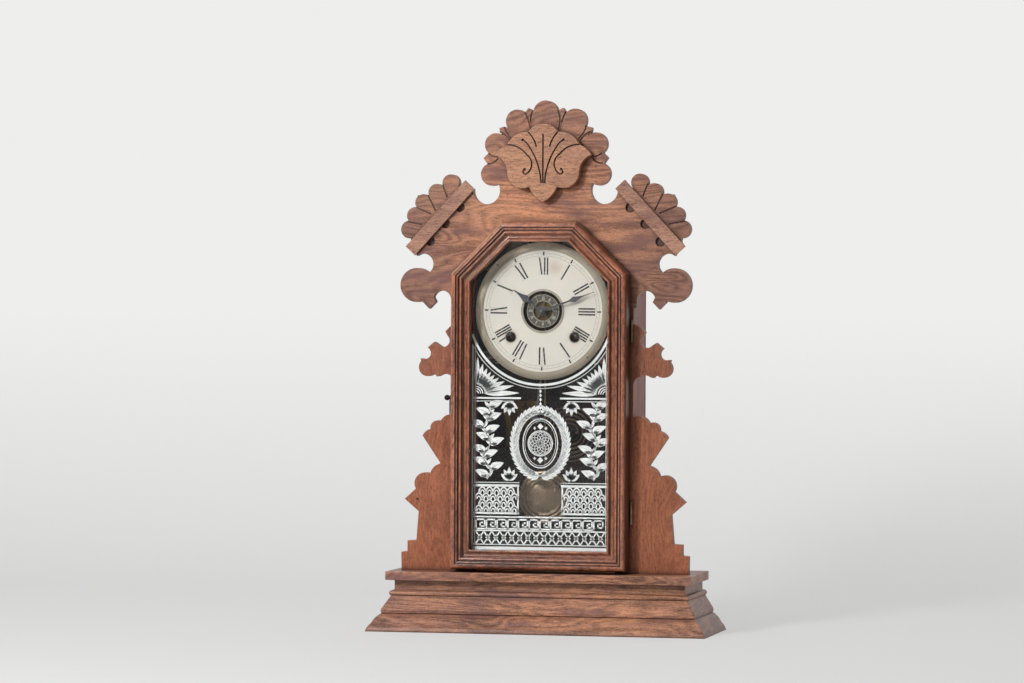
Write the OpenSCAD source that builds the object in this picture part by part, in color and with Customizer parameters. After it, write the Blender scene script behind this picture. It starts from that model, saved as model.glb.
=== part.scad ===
// Shelf clock with carved crest: case, glazed door, dial, eight-day movement, gong and alarm.
// Millimetres. X to the right, Y to the back, Z up. The origin is on the table, under the middle.

/* [Base] */
// Half width of the base at the table
foot_half_w = 190; // [186:1:194]
// Depth of the base from front to back
base_depth = 134; // [130:1:138]
// Underside of the base top board above the table
base_h = 56.1; // [55:0.1:57]
// Thickness of the base top board
top_board_t = 9.4; // [8:0.1:10]

/* [Case] */
// Half width of the case over its sides
case_half_w = 100; // [98:0.5:100]
// Thickness of the case sides and top
case_t = 10; // [8:0.5:10]
// Outside height of the case above the base top board
case_h = 384.5; // [380:0.5:390]
// Front face of the ornamental boards
board_y = -15.2; // [-15.4:0.1:-15]
// Thickness of the ornamental boards
board_t = 11; // [10:0.5:11]
// Front of the back board
back_y = 50.2; // [50:0.1:51]
// Thickness of the back board
back_t = 5.8; // [4:0.1:8]

/* [Door] */
// Half width of the door
door_half_w = 98.9; // [98.5:0.1:99]
// Bottom edge of the door
door_z0 = 68.7; // [68:0.1:69]
// Top edge of the door
door_z1 = 451.5; // [451:0.1:452]
// Half width of the short top edge, where the slanted corners end
door_top_half_w = 42; // [41:0.5:43]
// Depth of the door frame from front to back
door_t = 24; // [23:0.5:24.5]
// Thickness of the glass
glass_t = 1.8; // [1.6:0.1:2]

/* [Dial] */
// Middle of the dial, to the left of the middle of the case
dial_x = -2.4; // [-3:0.1:0]
// Middle of the dial above the table
dial_z = 353.8; // [353:0.1:355]
// Outer radius of the dial pan
pan_r = 76; // [75:0.1:76]
// Radius of the paper
paper_r = 67.3; // [66:0.1:68]
// Front face of the paper
dial_y = -14; // [-14.2:0.1:-13.8]
// Height of the winding holes above the middle of the dial
wind_z = -28.8; // [-29:0.1:-28.5]
// Sideways distance of the winding holes from the middle of the dial
wind_x = 36.2; // [36:0.1:36.4]
// Angle of the minute hand at rest, clockwise from twelve
minute_angle = 70.3; // [0:0.1:360]

/* [Movement] */
// Half width of the movement plates
plate_half_w = 61; // [60:0.5:62]
// Thickness of the movement plates
plate_t = 1.6; // [1.4:0.1:1.8]
// Front face of the front plate
plate_y = 8; // [7.9:0.1:8.1]
// Length of the pendulum from its pivot to the middle of the bob: half a second a swing
pendulum_l = 248.5; // [247:0.5:250]
// Radius of the bob
bob_r = 30; // [28:0.5:31]
// Turns of the gong
gong_turns = 5; // [4:1:6]

/* [Hidden] */
$fn = 64;

// Colours
walnut = [0.55, 0.34, 0.24];
pale_walnut = [0.68, 0.46, 0.34];
dark_wood = [0.36, 0.25, 0.20];
brass = [0.72, 0.60, 0.33];
old_brass = [0.52, 0.49, 0.40];
steel = [0.45, 0.46, 0.48];
blued = [0.16, 0.17, 0.20];
paper = [0.90, 0.88, 0.83];
iron = [0.14, 0.13, 0.13];
clear = [0.80, 0.86, 0.86, 0.35];

// Case
base_y = -base_depth / 2;
case_z0 = base_h + top_board_t;
case_z1 = case_z0 + case_h;
side_y = board_y + board_t;
inner_w = case_half_w - case_t;
opening_w = 80;
opening_z = 436;
opening_corner = 46;
panel_z = 358;
fret_fn = 48;
base_inner = 34;
groove_w = 1.9;
groove_d = 1.4;

// Door
rail_w = 21.6;
door_gap = 0.8;
door_back = board_y - door_gap;
door_front = door_back - door_t;
rebate_u = 18.2;
rebate_h = 9.6;
glass_y = door_back - rebate_h;
hinge_x = dial_x + 100.8;
hinge_y = -17.3;
hinge_r = 1.6;
hinge_l = 25;
hinge_zs = [332, 132];
latch_y = -18.9;
latch_z = 257.5;
latch_reach = 16.3;
latch_pin_r = 1;
latch_plate_x = -105.4;

// Dial and hands
pan_t = 0.8;
pan_depth = 9.6;
hole_r = 22;
wind_hole_r = 5.7;
hour_angle = 300 + minute_angle / 12;
hand_t = 0.6;
hour_hand_y = -17.6;
minute_hand_y = -20.2;
nail_r = 0.6;
nail_ring_r = 71.8;
nail_depth = 4;

// Movement: arbor places measured from the middle of the dial, and teeth
plate_gap = 32.4;
back_plate_y = plate_y + plate_t + plate_gap;
plate_bottom = -61;
plate_top = 52;
pivot_r = 0.8;
arbor_r = 1.2;
run = 0.05;
winder_r = 2.5;
great_m = 0.75;
fine_m = 0.5;
motion_m = 0.8;
pin_count = 8;
great_teeth = 72;
train_teeth = 80;
centre_teeth = 60;
escape_teeth = 48;
great_reach = great_m * (great_teeth + pin_count) / 2;
pinion_reach = fine_m * (train_teeth + pin_count) / 2;
centre_reach = fine_m * (train_teeth + centre_teeth) / 2;
centre_at = [0, 0];
great_at = [wind_x, wind_z];
second_at = meet(centre_at, centre_reach, great_at, great_reach, 1);
escape_at = [0, 27.8];
third_at = meet(second_at, pinion_reach, escape_at, pinion_reach, -1);
fly_at = mirror_x(third_at) + pinion_reach * dir(110);
hammer_at = [0, -46];
minute_wheel_at = motion_m * 20 * dir(135);
pendulum_y = 0.4;
bob_z = 147.5 - dial_z;
pendulum_at = [0, bob_z + pendulum_l];
pillars = [[56, -56], [-56, -56], [54, 47], [-54, 47]];
feet = [[46, -56], [-46, -56], [44, 47], [-44, 47]];

// Layers of the train, front faces
third_y = 11;
strike_third_y = 13.3;
second_y = 16;
strike_second_y = 18.2;
lift_y = 15;
great_y = 37.5;
wheel_t = 1.1;
escape_y = 4.2;
spring_y = 20.6;
spring_w = 14.6;

// Gong and alarm
gong_at = [17, 218];
gong_wire_r = 1.2;
gong_in_r = 9.9;
gong_out_r = 33;
gong_y = 42;
alarm_at = [-41, 222];
alarm_wheel_y = 30;
alarm_pivot = [-41, 246];

// ---- Plane geometry ----

function dir(a) = [cos(a), sin(a)];
function mirror_x(p) = [-p.x, p.y];
function wrap(a) = a - 360 * floor(a / 360);
function clock(a) = 90 - a;

// Point at reach ra from a and rb from b, on the side given by the sign s
function meet(a, ra, b, rb, s) =
    let (d = norm(b - a), u = (b - a) / d, x = (d * d + ra * ra - rb * rb) / (2 * d))
    a + u * x + s * [-u.y, u.x] * sqrt(max(0, ra * ra - x * x));

// Points on a round stretch round c from angle a0 to a1
function arc(c, r, a0, a1, n = 8) = [for (i = [0:n]) c + r * dir(a0 + (a1 - a0) * i / n)];

// Points on the round stretch through p, q and r
function arc3(p, q, r, n = 8) =
    let (
        d = 2 * (p.x * (q.y - r.y) + q.x * (r.y - p.y) + r.x * (p.y - q.y)),
        c = [
            ((p * p) * (q.y - r.y) + (q * q) * (r.y - p.y) + (r * r) * (p.y - q.y)) / d,
            ((p * p) * (r.x - q.x) + (q * q) * (p.x - r.x) + (r * r) * (q.x - p.x)) / d
        ],
        a0 = atan2(p.y - c.y, p.x - c.x),
        a1 = atan2(r.y - c.y, r.x - c.x),
        turn = d > 0 ? wrap(a1 - a0) : -wrap(a0 - a1)
    )
    arc(c, norm(p - c), a0, a0 + turn, n);

// Closed outline of a strip of width w along a path
function side_of(path, i) =
    let (a = path[max(0, i - 1)], b = path[min(len(path) - 1, i + 1)], t = (b - a) / norm(b - a))
    [-t.y, t.x];
function ribbon(path, w) = concat(
    [for (i = [0:len(path) - 1]) path[i] + side_of(path, i) * w / 2],
    [for (i = [len(path) - 1:-1:0]) path[i] - side_of(path, i) * w / 2]
);

// ---- Placing ----

// Stands a plane figure up: X stays, the figure's Y becomes Z, from y0 back by t
module upright(y0, t) {
    translate([0, y0 + t, 0]) rotate([90, 0, 0]) linear_extrude(t) children();
}

// A round bar along Y
module bar_y(p, y0, y1, r) {
    translate([p.x, y0, p.y]) rotate([-90, 0, 0]) cylinder(h = y1 - y0, r = r);
}

// A twelve-sided bar along Y, for arbors and pins of the movement
module rod_y(p, y0, y1, r) {
    translate([p.x, y0, p.y]) rotate([-90, 0, 0]) cylinder(h = y1 - y0, r = r, $fn = 12);
}

module both_sides() {
    children();
    mirror([1, 0, 0]) children();
}

module at_dial() {
    translate([dial_x, 0, dial_z]) children();
}

module block(x0, x1, y0, y1, z0, z1) {
    translate([x0, y0, z0]) cube([x1 - x0, y1 - y0, z1 - z0]);
}

// ---- Base ----

// Section of the base moulding: inset from the foot, height
base_section = concat(
    [[0, 0], [0, 1.5]],
    arc3([0.6, 2.2], [2.2, 5.6], [4.6, 8.2], 5),
    arc3([5.6, 9.6], [9.6, 15.4], [15.4, 19.8], 6),
    [[14.2, 20.2], [14.2, 23.9], [23.2, 38.2]],
    arc3([23.2, 38.6], [21.6, 41.4], [25.6, 44.5], 6),
    [[26.7, 45.5], [26.7, base_h], [base_inner, base_h], [base_inner, 0]]
);

// Length of moulding along Y, its section growing inward along +X from x = 0
module moulding_run(y0, y1) {
    translate([0, y1, 0]) rotate([90, 0, 0]) linear_extrude(y1 - y0) polygon(base_section);
}

module plan_prism(points) {
    linear_extrude(base_h) polygon(points);
}

module base_front_moulding() {
    color(walnut) intersection() {
        translate([0, base_y, 0]) rotate([0, 0, 90]) moulding_run(-foot_half_w, foot_half_w);
        plan_prism([
            [-foot_half_w, base_y], [foot_half_w, base_y],
            [foot_half_w - base_inner, base_y + base_inner],
            [base_inner - foot_half_w, base_y + base_inner]
        ]);
    }
}

module base_left_moulding() {
    color(walnut) intersection() {
        translate([-foot_half_w, 0, 0]) moulding_run(base_y, -base_y);
        plan_prism([
            [-foot_half_w, base_y], [base_inner - foot_half_w, base_y + base_inner],
            [base_inner - foot_half_w, -base_y], [-foot_half_w, -base_y]
        ]);
    }
}

module base_right_moulding() {
    mirror([1, 0, 0]) base_left_moulding();
}

module base_back_rail() {
    rail_t = 10;
    color(dark_wood) block(
        base_inner - foot_half_w, foot_half_w - base_inner, -base_y - rail_t, -base_y, 0, base_h
    );
}

module base_top_board() {
    color(walnut) block(-171.3, 171.3, -51, 61, base_h, case_z0);
}

// ---- Case ----

module case_side_left() {
    color(dark_wood) difference() {
        block(-case_half_w, -inner_w, side_y, back_y, case_z0, case_z1);
        translate([-case_half_w - 1, -2.6, latch_z]) rotate([0, 90, 0]) cylinder(h = 7, r = latch_pin_r);
    }
}

module case_side_right() {
    color(dark_wood) block(inner_w, case_half_w, side_y, back_y, case_z0, case_z1);
}

module case_top_board() {
    color(dark_wood) block(-inner_w, inner_w, side_y, back_y, case_z1 - case_t, case_z1);
}

module back_board() {
    color(dark_wood) difference() {
        block(-case_half_w, case_half_w, back_y, back_y + back_t, case_z0, case_z1);
        bar_y(gong_at, back_y - 1, back_y + back_t + 1, 2);
        for (s = [-1, 1]) bar_y([alarm_at.x + s * 12, alarm_at.y + 12], back_y - 1, back_y + 4, 1);
    }
}

// Applied bar across each ear
bar_c = [118.6, 456.8];
bar_tilt = -47.2;
bar_l = 99.7;
bar_w = 14.4;
bar_t = 3.8;
module ear_bar() {
    translate([bar_c.x, board_y - bar_t, bar_c.y])
        rotate([0, -bar_tilt, 0]) translate([-bar_l / 2, 0, -bar_w / 2]) cube([bar_l, bar_t, bar_w]);
}

module ear_bars() {
    color(pale_walnut) both_sides() ear_bar();
}

// Round lobes of the ear and crest: centre and radius
ear_lobes = [
    [[154, 444], 10], [[147.8, 459.3], 9.5], [[138.3, 473.6], 9.6],
    [[123.2, 485], 9.6], [[107.2, 495.4], 9.7]
];
crest_lobes = [[[0, 572.2], 14], [[33.3, 564], 13], [[56.7, 538], 12.7], [[60.3, 505], 12.7]];
left_crest_lobes = [[[0, 572.2], 14], [[31.9, 563.4], 13], [[55.9, 537.8], 12.7], [[60.3, 505], 12.7]];
ball = [[145.5, 382.3], 19];

// How much further out the left foot stands, how much further in the right ear's lobes stand,
// and the left board's half width between its wings
foot_out = 3;
lobes_in = 1;
strip_x = 106.6;

// Board-thick plate with the outline of a polygon, and a round one
module fret(points) {
    upright(board_y, board_t) polygon(points);
}

module fret_round(c, r) {
    translate([c.x, board_y, c.y]) rotate([-90, 0, 0]) cylinder(h = board_t, r = r, $fn = fret_fn);
}

// Cut right through the board
module fret_cut(c, r) {
    translate([c.x, board_y - 1, c.y]) rotate([-90, 0, 0]) cylinder(h = board_t + 2, r = r, $fn = fret_fn);
}

// One half of the top board with its crest lobes; out moves the arch over the strip outward, with
// the foot beside it, and in moves the ear's lobes inward
module ear_half(lobes, out, in) {
    notch_c = [66.5, 487];
    arch_r = 10.4;
    arch_x = 113.8 + out;
    arch_z = 365.8;
    foot = [[128.5, 356], [136.3, 364], [132.8, 372], [124.6, 371], [121.1, 363.7]];
    difference() {
        fret(concat(
            [
                [0, panel_z], [0, 570], [16, 567], [24, 562], [45, 553], [50, 545], [62, 520], [58, 500],
                notch_c, [84, 489], [91, 495], [98, 487.6], [98.6, 494]
            ],
            [for (i = [len(ear_lobes) - 1:-1:0]) ear_lobes[i][0] - [in, 0]],
            [
                [153, 434.6], [152.2, 430.5], [155, 425.6], [146.8, 417.2], [136, 393.5], [128, 380],
                [130.8 + out, 369], [128.5 + out, 362], [123.8 + out, 364], [123.8 + out, panel_z]
            ]
        ));
        fret_cut(notch_c, 15.2);
        fret_cut([138.4, 405.6], 11.6);
        fret_cut([arch_x, arch_z], arch_r);
        block(
            arch_x - arch_r, arch_x + arch_r, board_y - 1, board_y + board_t + 1, panel_z - 1, arch_z
        );
    }
    for (lobe = ear_lobes) fret_round(lobe[0] - [in, 0], lobe[1]);
    for (lobe = lobes) fret_round(lobe[0], lobe[1]);
    fret_round(ball[0] - [in / 2, 0], ball[1]);
    fret([for (p = [[136, 481.8], [145, 482.2], [147.2, 470], [130, 465]]) p - [in, 0]]);
    fret([[11, 566], [14.6, 575.4], [19.5, 577.9], [22.6, 573.6], [20, 560]]);
    fret([[42, 556], [47, 557.6], [52.2, 556], [51.6, 551], [44, 546]]);
    fret([[60, 527.4], [64.6, 528.4], [70.2, 522.8], [65.4, 516], [58, 514]]);
    fret([for (p = foot) p + [out, 0]]);
}

// Opening of the case behind the door
module case_opening() {
    upright(board_y - 1, board_t + 2) polygon([
        [-opening_w, 0], [opening_w, 0], [opening_w, opening_z - opening_corner],
        [opening_w - opening_corner, opening_z], [opening_corner - opening_w, opening_z],
        [-opening_w, opening_z - opening_corner]
    ]);
}

// Cut grooves of the lobes, each from its outer to its inner end
ear_grooves = [
    [[159.5, 453], [139.6, 449.4]], [[148.4, 469.2], [129.4, 461.2]],
    [[133.2, 482.5], [124.2, 464.6]], [[116.4, 493.8], [110.8, 479.6]]
];
module ear_cuts() {
    for (g = ear_grooves) upright(board_y - 1, 1 + groove_d) polygon(ribbon(g, groove_w));
}

module panel_grooves() {
    translate([-lobes_in, 0, 0]) ear_cuts();
    mirror([1, 0, 0]) ear_cuts();
    both_sides() for (g = crest_grooves) upright(board_y - 1, 1 + groove_d) polygon(ribbon(g, groove_w));
}
crest_grooves = [
    arc3([14.3, 575], [16.6, 565], [13.6, 552]), arc3([23, 573.6], [18.4, 562], [16, 553]),
    arc3([46.4, 557.6], [43.4, 551], [37.4, 543.6]), arc3([51.4, 551.6], [46, 548.6], [39.6, 542]),
    arc3([64, 528], [60, 525.2], [53, 524.4]), arc3([65, 516.6], [60, 517.2], [53.4, 522.6])
];

// Round recesses half under an ear's bar
module ear_recesses(r) {
    recess_d = 3.5;
    for (c = [[96.5, 468.5], [113.3, 450.5], [130.2, 431]]) bar_y(c, board_y - 1, board_y + recess_d, r);
}

module front_top_panel() {
    color(walnut) difference() {
        union() {
            ear_half(crest_lobes, 0, lobes_in);
            mirror([1, 0, 0]) ear_half(left_crest_lobes, foot_out, 0);
        }
        case_opening();
        panel_grooves();
        translate([-0.7, 0, -0.7]) ear_recesses(5.6);
        mirror([1, 0, 0]) ear_recesses(5.3);
    }
}

// Applied carving of the crest, one half of its outline from the foot up
carving_half = concat(
    arc3([0, 474.3], [9, 480.4], [15.4, 490.2], 4),
    arc3([15.6, 490.6], [33, 492.4], [40.4, 508], 8),
    arc3([40.6, 508.6], [45, 519.4], [54, 525.5], 6),
    arc3([54, 525.7], [49, 531.8], [41, 536.5], 4),
    arc3([40.6, 537], [33, 546.4], [17, 551], 7),
    arc3([16.6, 551.4], [10, 557.4], [0, 560], 5)
);
carving_cuts = [
    [[0, 494.5], [0, 549]],
    concat(
        arc3([2, 494.5], [5.4, 514], [14.6, 533.5], 10),
        arc3([15.6, 535], [19, 539.4], [23, 542.2], 4)
    ),
    arc3([17, 551], [10.4, 542.6], [7.5, 534.5], 6),
    concat(
        arc3([41, 536.8], [29, 534.6], [19.5, 527.4], 8),
        arc3([18.7, 526.4], [12.9, 512.7], [19.3, 504.3], 8),
        arc3([20, 504.5], [22.4, 507.6], [20.6, 509.8], 4)
    )
];
module crest_ornament() {
    carving_t = 12;
    cut_d = 2.4;
    drill_r = 1.6;
    color(pale_walnut) difference() {
        upright(board_y - carving_t, carving_t) polygon(concat(
            carving_half, [for (i = [len(carving_half) - 2:-1:1]) mirror_x(carving_half[i])]
        ));
        both_sides() for (c = carving_cuts)
            upright(board_y - carving_t - 1, 1 + cut_d) polygon(ribbon(c, 1.7));
        both_sides() for (c = [[23, 542.2], [20.6, 509.8]])
            bar_y(c, board_y - carving_t - 1, board_y - carving_t + cut_d, drill_r);
    }
}

// Fretted board beside the door: middle wing and lower wing
wing_outline = concat(
    [[opening_w, case_z0], [opening_w, panel_z], [100, panel_z], [100, 340], [106.8, 337], [112.8, 331]],
    arc([115, 320.8], 7.1, 131, 311, 14),
    [[125.4, 319.3]],
    arc([136, 306.8], 6.7, 116, 262, 14),
    [[141.1, 300.8]],
    arc([133, 291], 10, 42, -140, 16),
    [[122.4, 280.7], [119.3, 281.4]],
    arc3([118.6, 281.8], [113.2, 283.7], [107.1, 282.2], 6),
    arc3([106.4, 281.8], [102, 278.6], [100, 274], 4),
    arc([106, 226], 13, 117.5, 23.5, 10),
    arc([121.5, 224], 8, 108, -8, 10),
    arc3([129.7, 222.3], [134.4, 220.3], [138.4, 215], 6),
    [[118.1, 184.9]],
    arc([115.5, 170], 14.3, 78, 10, 9),
    arc([135.5, 162], 12, 112, -30, 16),
    [[158.5, 144.6], [142.5, 130.7], [145.1, 98.7], [155.2, 98.1], [155.2, 86.2], [162.3, 85.4]],
    [[161.9, case_z0]]
);

module side_board_right() {
    color(walnut) fret(wing_outline);
}

// The left board has a notch that the latch's plate swings through
module side_board_left() {
    notch_x = -latch_plate_x - 0.6;
    color(walnut) mirror([1, 0, 0]) difference() {
        union() {
            fret(wing_outline);
            block(opening_w + 10, strip_x, board_y, board_y + board_t, 232, panel_z);
        }
        block(notch_x, strip_x + 1, board_y - 1, board_y + board_t + 1, 239.1, latch_z + 3.8);
    }
}

// Wood blocks: four that the dial pan is nailed to, of which the upper two fill the corners over the
// dial, and two that the movement is screwed to
module case_blocks() {
    block_t = 8;
    color(dark_wood) {
        for (s = [-1, 1], up = [-1, 1]) difference() {
            from_middle = up > 0 ? 20 : 46;
            block(
                s > 0 ? dial_x + from_middle : -inner_w, s > 0 ? inner_w : dial_x - from_middle,
                side_y, side_y + block_t, dial_z + (up > 0 ? 45 : -57), dial_z + (up > 0 ? 79 : -45)
            );
            at_dial() bar_y([s, up] * nail_ring_r / sqrt(2), side_y - 1, side_y + nail_depth, nail_r);
        }
        at_dial() for (s = [-1, 1]) difference() {
            block(s * 46 - 8, s * 46 + 8, back_plate_y + plate_t, back_y, plate_bottom, plate_top);
            for (p = feet) bar_y(p, back_plate_y, back_plate_y + plate_t + 5, 1.5);
        }
    }
}

// Nails of the dial, screws of the movement and the pin that the latch catches
module case_screws() {
    nail_y = dial_y - 0.5;
    color(steel) {
        at_dial() {
            for (a = [45:90:315]) {
                bar_y(nail_ring_r * dir(a), nail_y, side_y + nail_depth, nail_r);
                bar_y(nail_ring_r * dir(a), nail_y - 0.4, nail_y, 1.1);
            }
            for (p = feet) {
                bar_y(p, back_plate_y - 1.5, back_plate_y, 3);
                bar_y(p, back_plate_y, back_plate_y + plate_t + 5, 1.5);
            }
        }
        translate([latch_plate_x - 1.8, -2.6, latch_z]) rotate([0, 90, 0])
            cylinder(h = 5 - case_half_w - latch_plate_x + 1.8, r = latch_pin_r);
    }
}

// ---- Hinges ----

leaf_t = 0.32;
leaf_w = 10;
hinge_pin_r = 0.75;
middle_knuckle = 8.6;
end_knuckle = 8;
module hinge_bar(z0, h, r) {
    translate([hinge_x, hinge_y, z0]) cylinder(h = h, r = r, $fn = 32);
}

// Leaves behind the case's middle knuckles, cut away beside the door's two
module case_hinge_leaves() {
    color(brass) for (z = hinge_zs) {
        z0 = z - hinge_l / 2;
        z1 = z - middle_knuckle / 2;
        difference() {
            union() {
                hinge_bar(z1, middle_knuckle, hinge_r);
                block(hinge_x - leaf_w, hinge_x, board_y - leaf_t, board_y, z0, z0 + hinge_l);
                block(hinge_x, hinge_x + 1.2, hinge_y, board_y, z1, z1 + middle_knuckle);
            }
            hinge_bar(z1 - 1, middle_knuckle + 2, hinge_pin_r + run);
            for (k = [z0 - 1, z1 + middle_knuckle])
                block(hinge_x - 2.2, hinge_x + 1, board_y - 3, board_y + 1, k, k + end_knuckle + 1.2);
        }
    }
}

module door_hinge_leaves() {
    color(brass) for (z = hinge_zs) {
        z0 = z - hinge_l / 2;
        hinge_bar(z0, hinge_l, hinge_pin_r);
        for (k = [z0, z0 + hinge_l - end_knuckle]) {
            hinge_bar(k, end_knuckle, hinge_r);
            block(hinge_x - 1.9, hinge_x, door_back, door_back + leaf_t, k, k + end_knuckle);
        }
        block(hinge_x - leaf_w, hinge_x - 1.8, door_back, door_back + leaf_t, z0, z0 + hinge_l);
    }
}

// ---- Door ----

// Section of the door moulding: inset from the door's edge, height above its back
door_section = concat(
    [[0, 0]],
    arc([4.4, door_t - 4.4], 4.4, 180, 90, 6),
    [[5.4, door_t - 0.1], [5.6, door_t - 1.9], [6.3, door_t - 1.9]],
    arc([7.4, door_t - 1.9], 1.1, 180, 0, 6),
    [[8.7, door_t - 3.4], [9.6, door_t - 3.4]],
    arc([11.2, door_t - 3.2], 1.6, 180, 0, 6),
    [[12.9, door_t - 4.2], [13.4, door_t - 4.2]],
    arc3([13.5, door_t - 4.4], [16, door_t - 6.2], [18.6, door_t - 4.4], 6),
    [[18.7, door_t - 3.6], [19, door_t - 3.6]],
    arc([20.3, door_t - 3.8], 1.3, 180, 0, 6),
    [[rail_w, rebate_h], [rebate_u, rebate_h], [rebate_u, 0]]
);

// Corners of the door's outline about the dial's middle line, and of the same outline moved in by d
function door_corners(d) =
    let (w = door_half_w - d, t = door_top_half_w - d * tan(22.5), z = door_half_w - door_top_half_w)
    [for (p = [
        [-w, door_z0 + d], [w, door_z0 + d], [w, door_z1 - z - d * tan(22.5)],
        [t, door_z1 - d], [-t, door_z1 - d], [-w, door_z1 - z - d * tan(22.5)]
    ]) p + [dial_x, 0]];

// One mitred piece of the frame, along the edge from corner i to the next
module door_piece(i) {
    a = door_corners(0)[i];
    b = door_corners(0)[(i + 1) % 6];
    ia = door_corners(rail_w)[i];
    ib = door_corners(rail_w)[(i + 1) % 6];
    len_ab = norm(b - a);
    turn = atan2(b.y - a.y, b.x - a.x);
    spare = 1;
    intersection() {
        translate([a.x, 0, a.y]) rotate([0, -turn, 0]) translate([-spare, door_back, 0])
            rotate([90, 0, 90]) linear_extrude(len_ab + 2 * spare)
            polygon([for (p = door_section) [-p.y, p.x]]);
        upright(door_front - 1, door_t + 2) polygon([a, b, ib, ia]);
    }
}

module door_bottom_rail() {
    color(walnut) door_piece(0);
}

module door_right_stile() {
    color(walnut) door_piece(1);
}

module door_right_diagonal() {
    color(walnut) door_piece(2);
}

module door_top_rail() {
    color(walnut) door_piece(3);
}

module door_left_diagonal() {
    color(walnut) door_piece(4);
}

latch_shaft_r = 1;
latch_shaft_l = 8;
module door_left_stile() {
    color(walnut) difference() {
        door_piece(5);
        translate([dial_x - door_half_w - 1, latch_y, latch_z]) rotate([0, 90, 0])
            cylinder(h = latch_shaft_l + 1, r = latch_shaft_r + run, $fn = 32);
    }
}

module door_glass() {
    color(clear) upright(glass_y, glass_t) polygon(door_corners(rebate_u + 0.2));
}

// Knob with its shaft and the catch plate, hanging free
module door_latch() {
    knob_r = 3.1;
    plate_t = 1;
    color(steel) translate([latch_plate_x, latch_y, latch_z]) {
        rotate([0, -90, 0]) translate([0, 0, plate_t]) rotate_extrude($fn = 32) polygon(concat(
            [[0, 0], [1.8, 0], [1.8, 1]],
            arc3([2.8, 1.4], [knob_r, 3.4], [0.9, 6.2], 8),
            [[0, 6.4]]
        ));
        rotate([0, 90, 0]) cylinder(
            h = dial_x + latch_shaft_l - 0.3 - door_half_w - latch_plate_x, r = latch_shaft_r, $fn = 32
        );
        rotate([90, 0, 0]) rotate([0, -90, 0]) linear_extrude(plate_t) difference() {
            union() {
                circle(2.8, $fn = 32);
                translate([-2.6, -latch_reach - 1.9]) square([5.2, latch_reach + 1.9]);
            }
            translate([0, -latch_reach]) circle(latch_pin_r + 0.3, $fn = 32);
            translate([-3, -latch_reach - latch_pin_r - 0.3]) square([3, 2 * latch_pin_r + 0.6]);
        }
    }
}

// ---- Dial ----

module dial_holes(r) {
    for (s = [-1, 1]) translate([s * wind_x, wind_z]) circle(r, $fn = 48);
}

module nail_holes() {
    for (a = [45:90:315]) translate(nail_ring_r * dir(a)) circle(nail_r, $fn = 24);
}

module dial_pan() {
    face_y = dial_y + 0.3;
    color(old_brass) at_dial() {
        upright(face_y, pan_t) difference() {
            circle(pan_r);
            circle(hole_r);
            dial_holes(wind_hole_r);
            nail_holes();
        }
        upright(face_y + pan_t, pan_depth - 0.3 - pan_t) difference() {
            circle(pan_r);
            circle(pan_r - pan_t);
        }
    }
}

module dial_paper() {
    color(paper) at_dial() upright(dial_y, 0.3) difference() {
        circle(paper_r);
        circle(hole_r + 2.4);
        dial_holes(wind_hole_r);
    }
}

// Raised ring round the paper; the section is radius, height in front of the pan
module dial_bezel() {
    rise = 1.5;
    color(old_brass) at_dial() translate([0, dial_y + 0.3, 0]) difference() {
        rotate([90, 0, 0]) rotate_extrude($fn = 96) polygon(concat(
            [[pan_r, 0], [paper_r, 0], [paper_r, rise - 0.3]],
            arc3([paper_r + 0.2, rise - 0.1], [paper_r + 3.6, rise], [pan_r - 1.6, 0.7], 5),
            [[pan_r, 0.2]]
        ));
        for (a = [45:90:315]) bar_y(nail_ring_r * dir(a), -4, 1, 1.15);
    }
}

module dial_grommets() {
    ring_rise = 0.8;
    color(old_brass) at_dial() {
        upright(dial_y - ring_rise, ring_rise + 0.3) difference() {
            circle(hole_r + 2.4);
            circle(hole_r);
        }
        upright(dial_y - 0.4, 0.4) difference() {
            dial_holes(wind_hole_r + 0.9);
            dial_holes(wind_hole_r);
        }
    }
}

// Outline of a hand that points to the right: length, place and half width of its leaf
function hand_half(l, leaf, w) = concat(
    [[3.3, 1.3], [leaf * 0.55, 0.95], [leaf - 2.4 * w, 0.9]],
    arc3([leaf - 1.7 * w, 1.1], [leaf - 0.8 * w, w * 0.72], [leaf, w], 4),
    arc3([leaf + 0.4, w * 0.9], [leaf + 1.7 * w, 1.5], [leaf + 3.4 * w, 0.6], 5),
    [[l, 0.22]]
);
module hand(y, angle, l, leaf, w, hub, bore) {
    half = hand_half(l, leaf, w);
    at_dial() difference() {
        union() {
            upright(y, hand_t) rotate(clock(angle))
                polygon(concat(half, [for (i = [len(half) - 1:-1:0]) [half[i].x, -half[i].y]]));
            bar_y([0, 0], y, y + hand_t, hub);
        }
        bar_y([0, 0], y - 1, y + hand_t + 1, bore);
    }
}

pipe_r = 3;
pipe_in = 1.65;
module hour_hand() {
    color(blued) hand(hour_hand_y, hour_angle, 40, 24, 4.2, 4.4, pipe_r);
}

tip_r = 1.1;
module minute_hand() {
    nut_t = 1.2;
    color(blued) {
        hand(minute_hand_y, minute_angle, 63, 39, 3.3, 3.6, tip_r);
        at_dial() upright(minute_hand_y - nut_t, nut_t) difference() {
            circle(2.3);
            circle(tip_r);
        }
    }
}

// ---- Wheels ----

// Outline of a toothed rim with slim pointed teeth
function tooth_ring(n, m, phase) = [
    for (i = [0:n - 1]) let (a = phase + i * 360 / n, p = 360 / n, r = m * n / 2)
        each [
            (r - 1.15 * m) * dir(a - 0.32 * p), (r - 0.1 * m) * dir(a - 0.19 * p),
            (r + 0.75 * m) * dir(a - 0.05 * p), (r + 0.75 * m) * dir(a + 0.05 * p),
            (r - 0.1 * m) * dir(a + 0.19 * p), (r - 1.15 * m) * dir(a + 0.32 * p)
        ]
];

// Phase at which a wheel of n teeth or pins meshes, seen from a wheel of na teeth at phase a
function mesh_phase(from, to, phase, na, n) =
    let (t = atan2(to.y - from.y, to.x - from.x)) t + 180 + 180 / n + (t - phase) * na / n;

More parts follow.
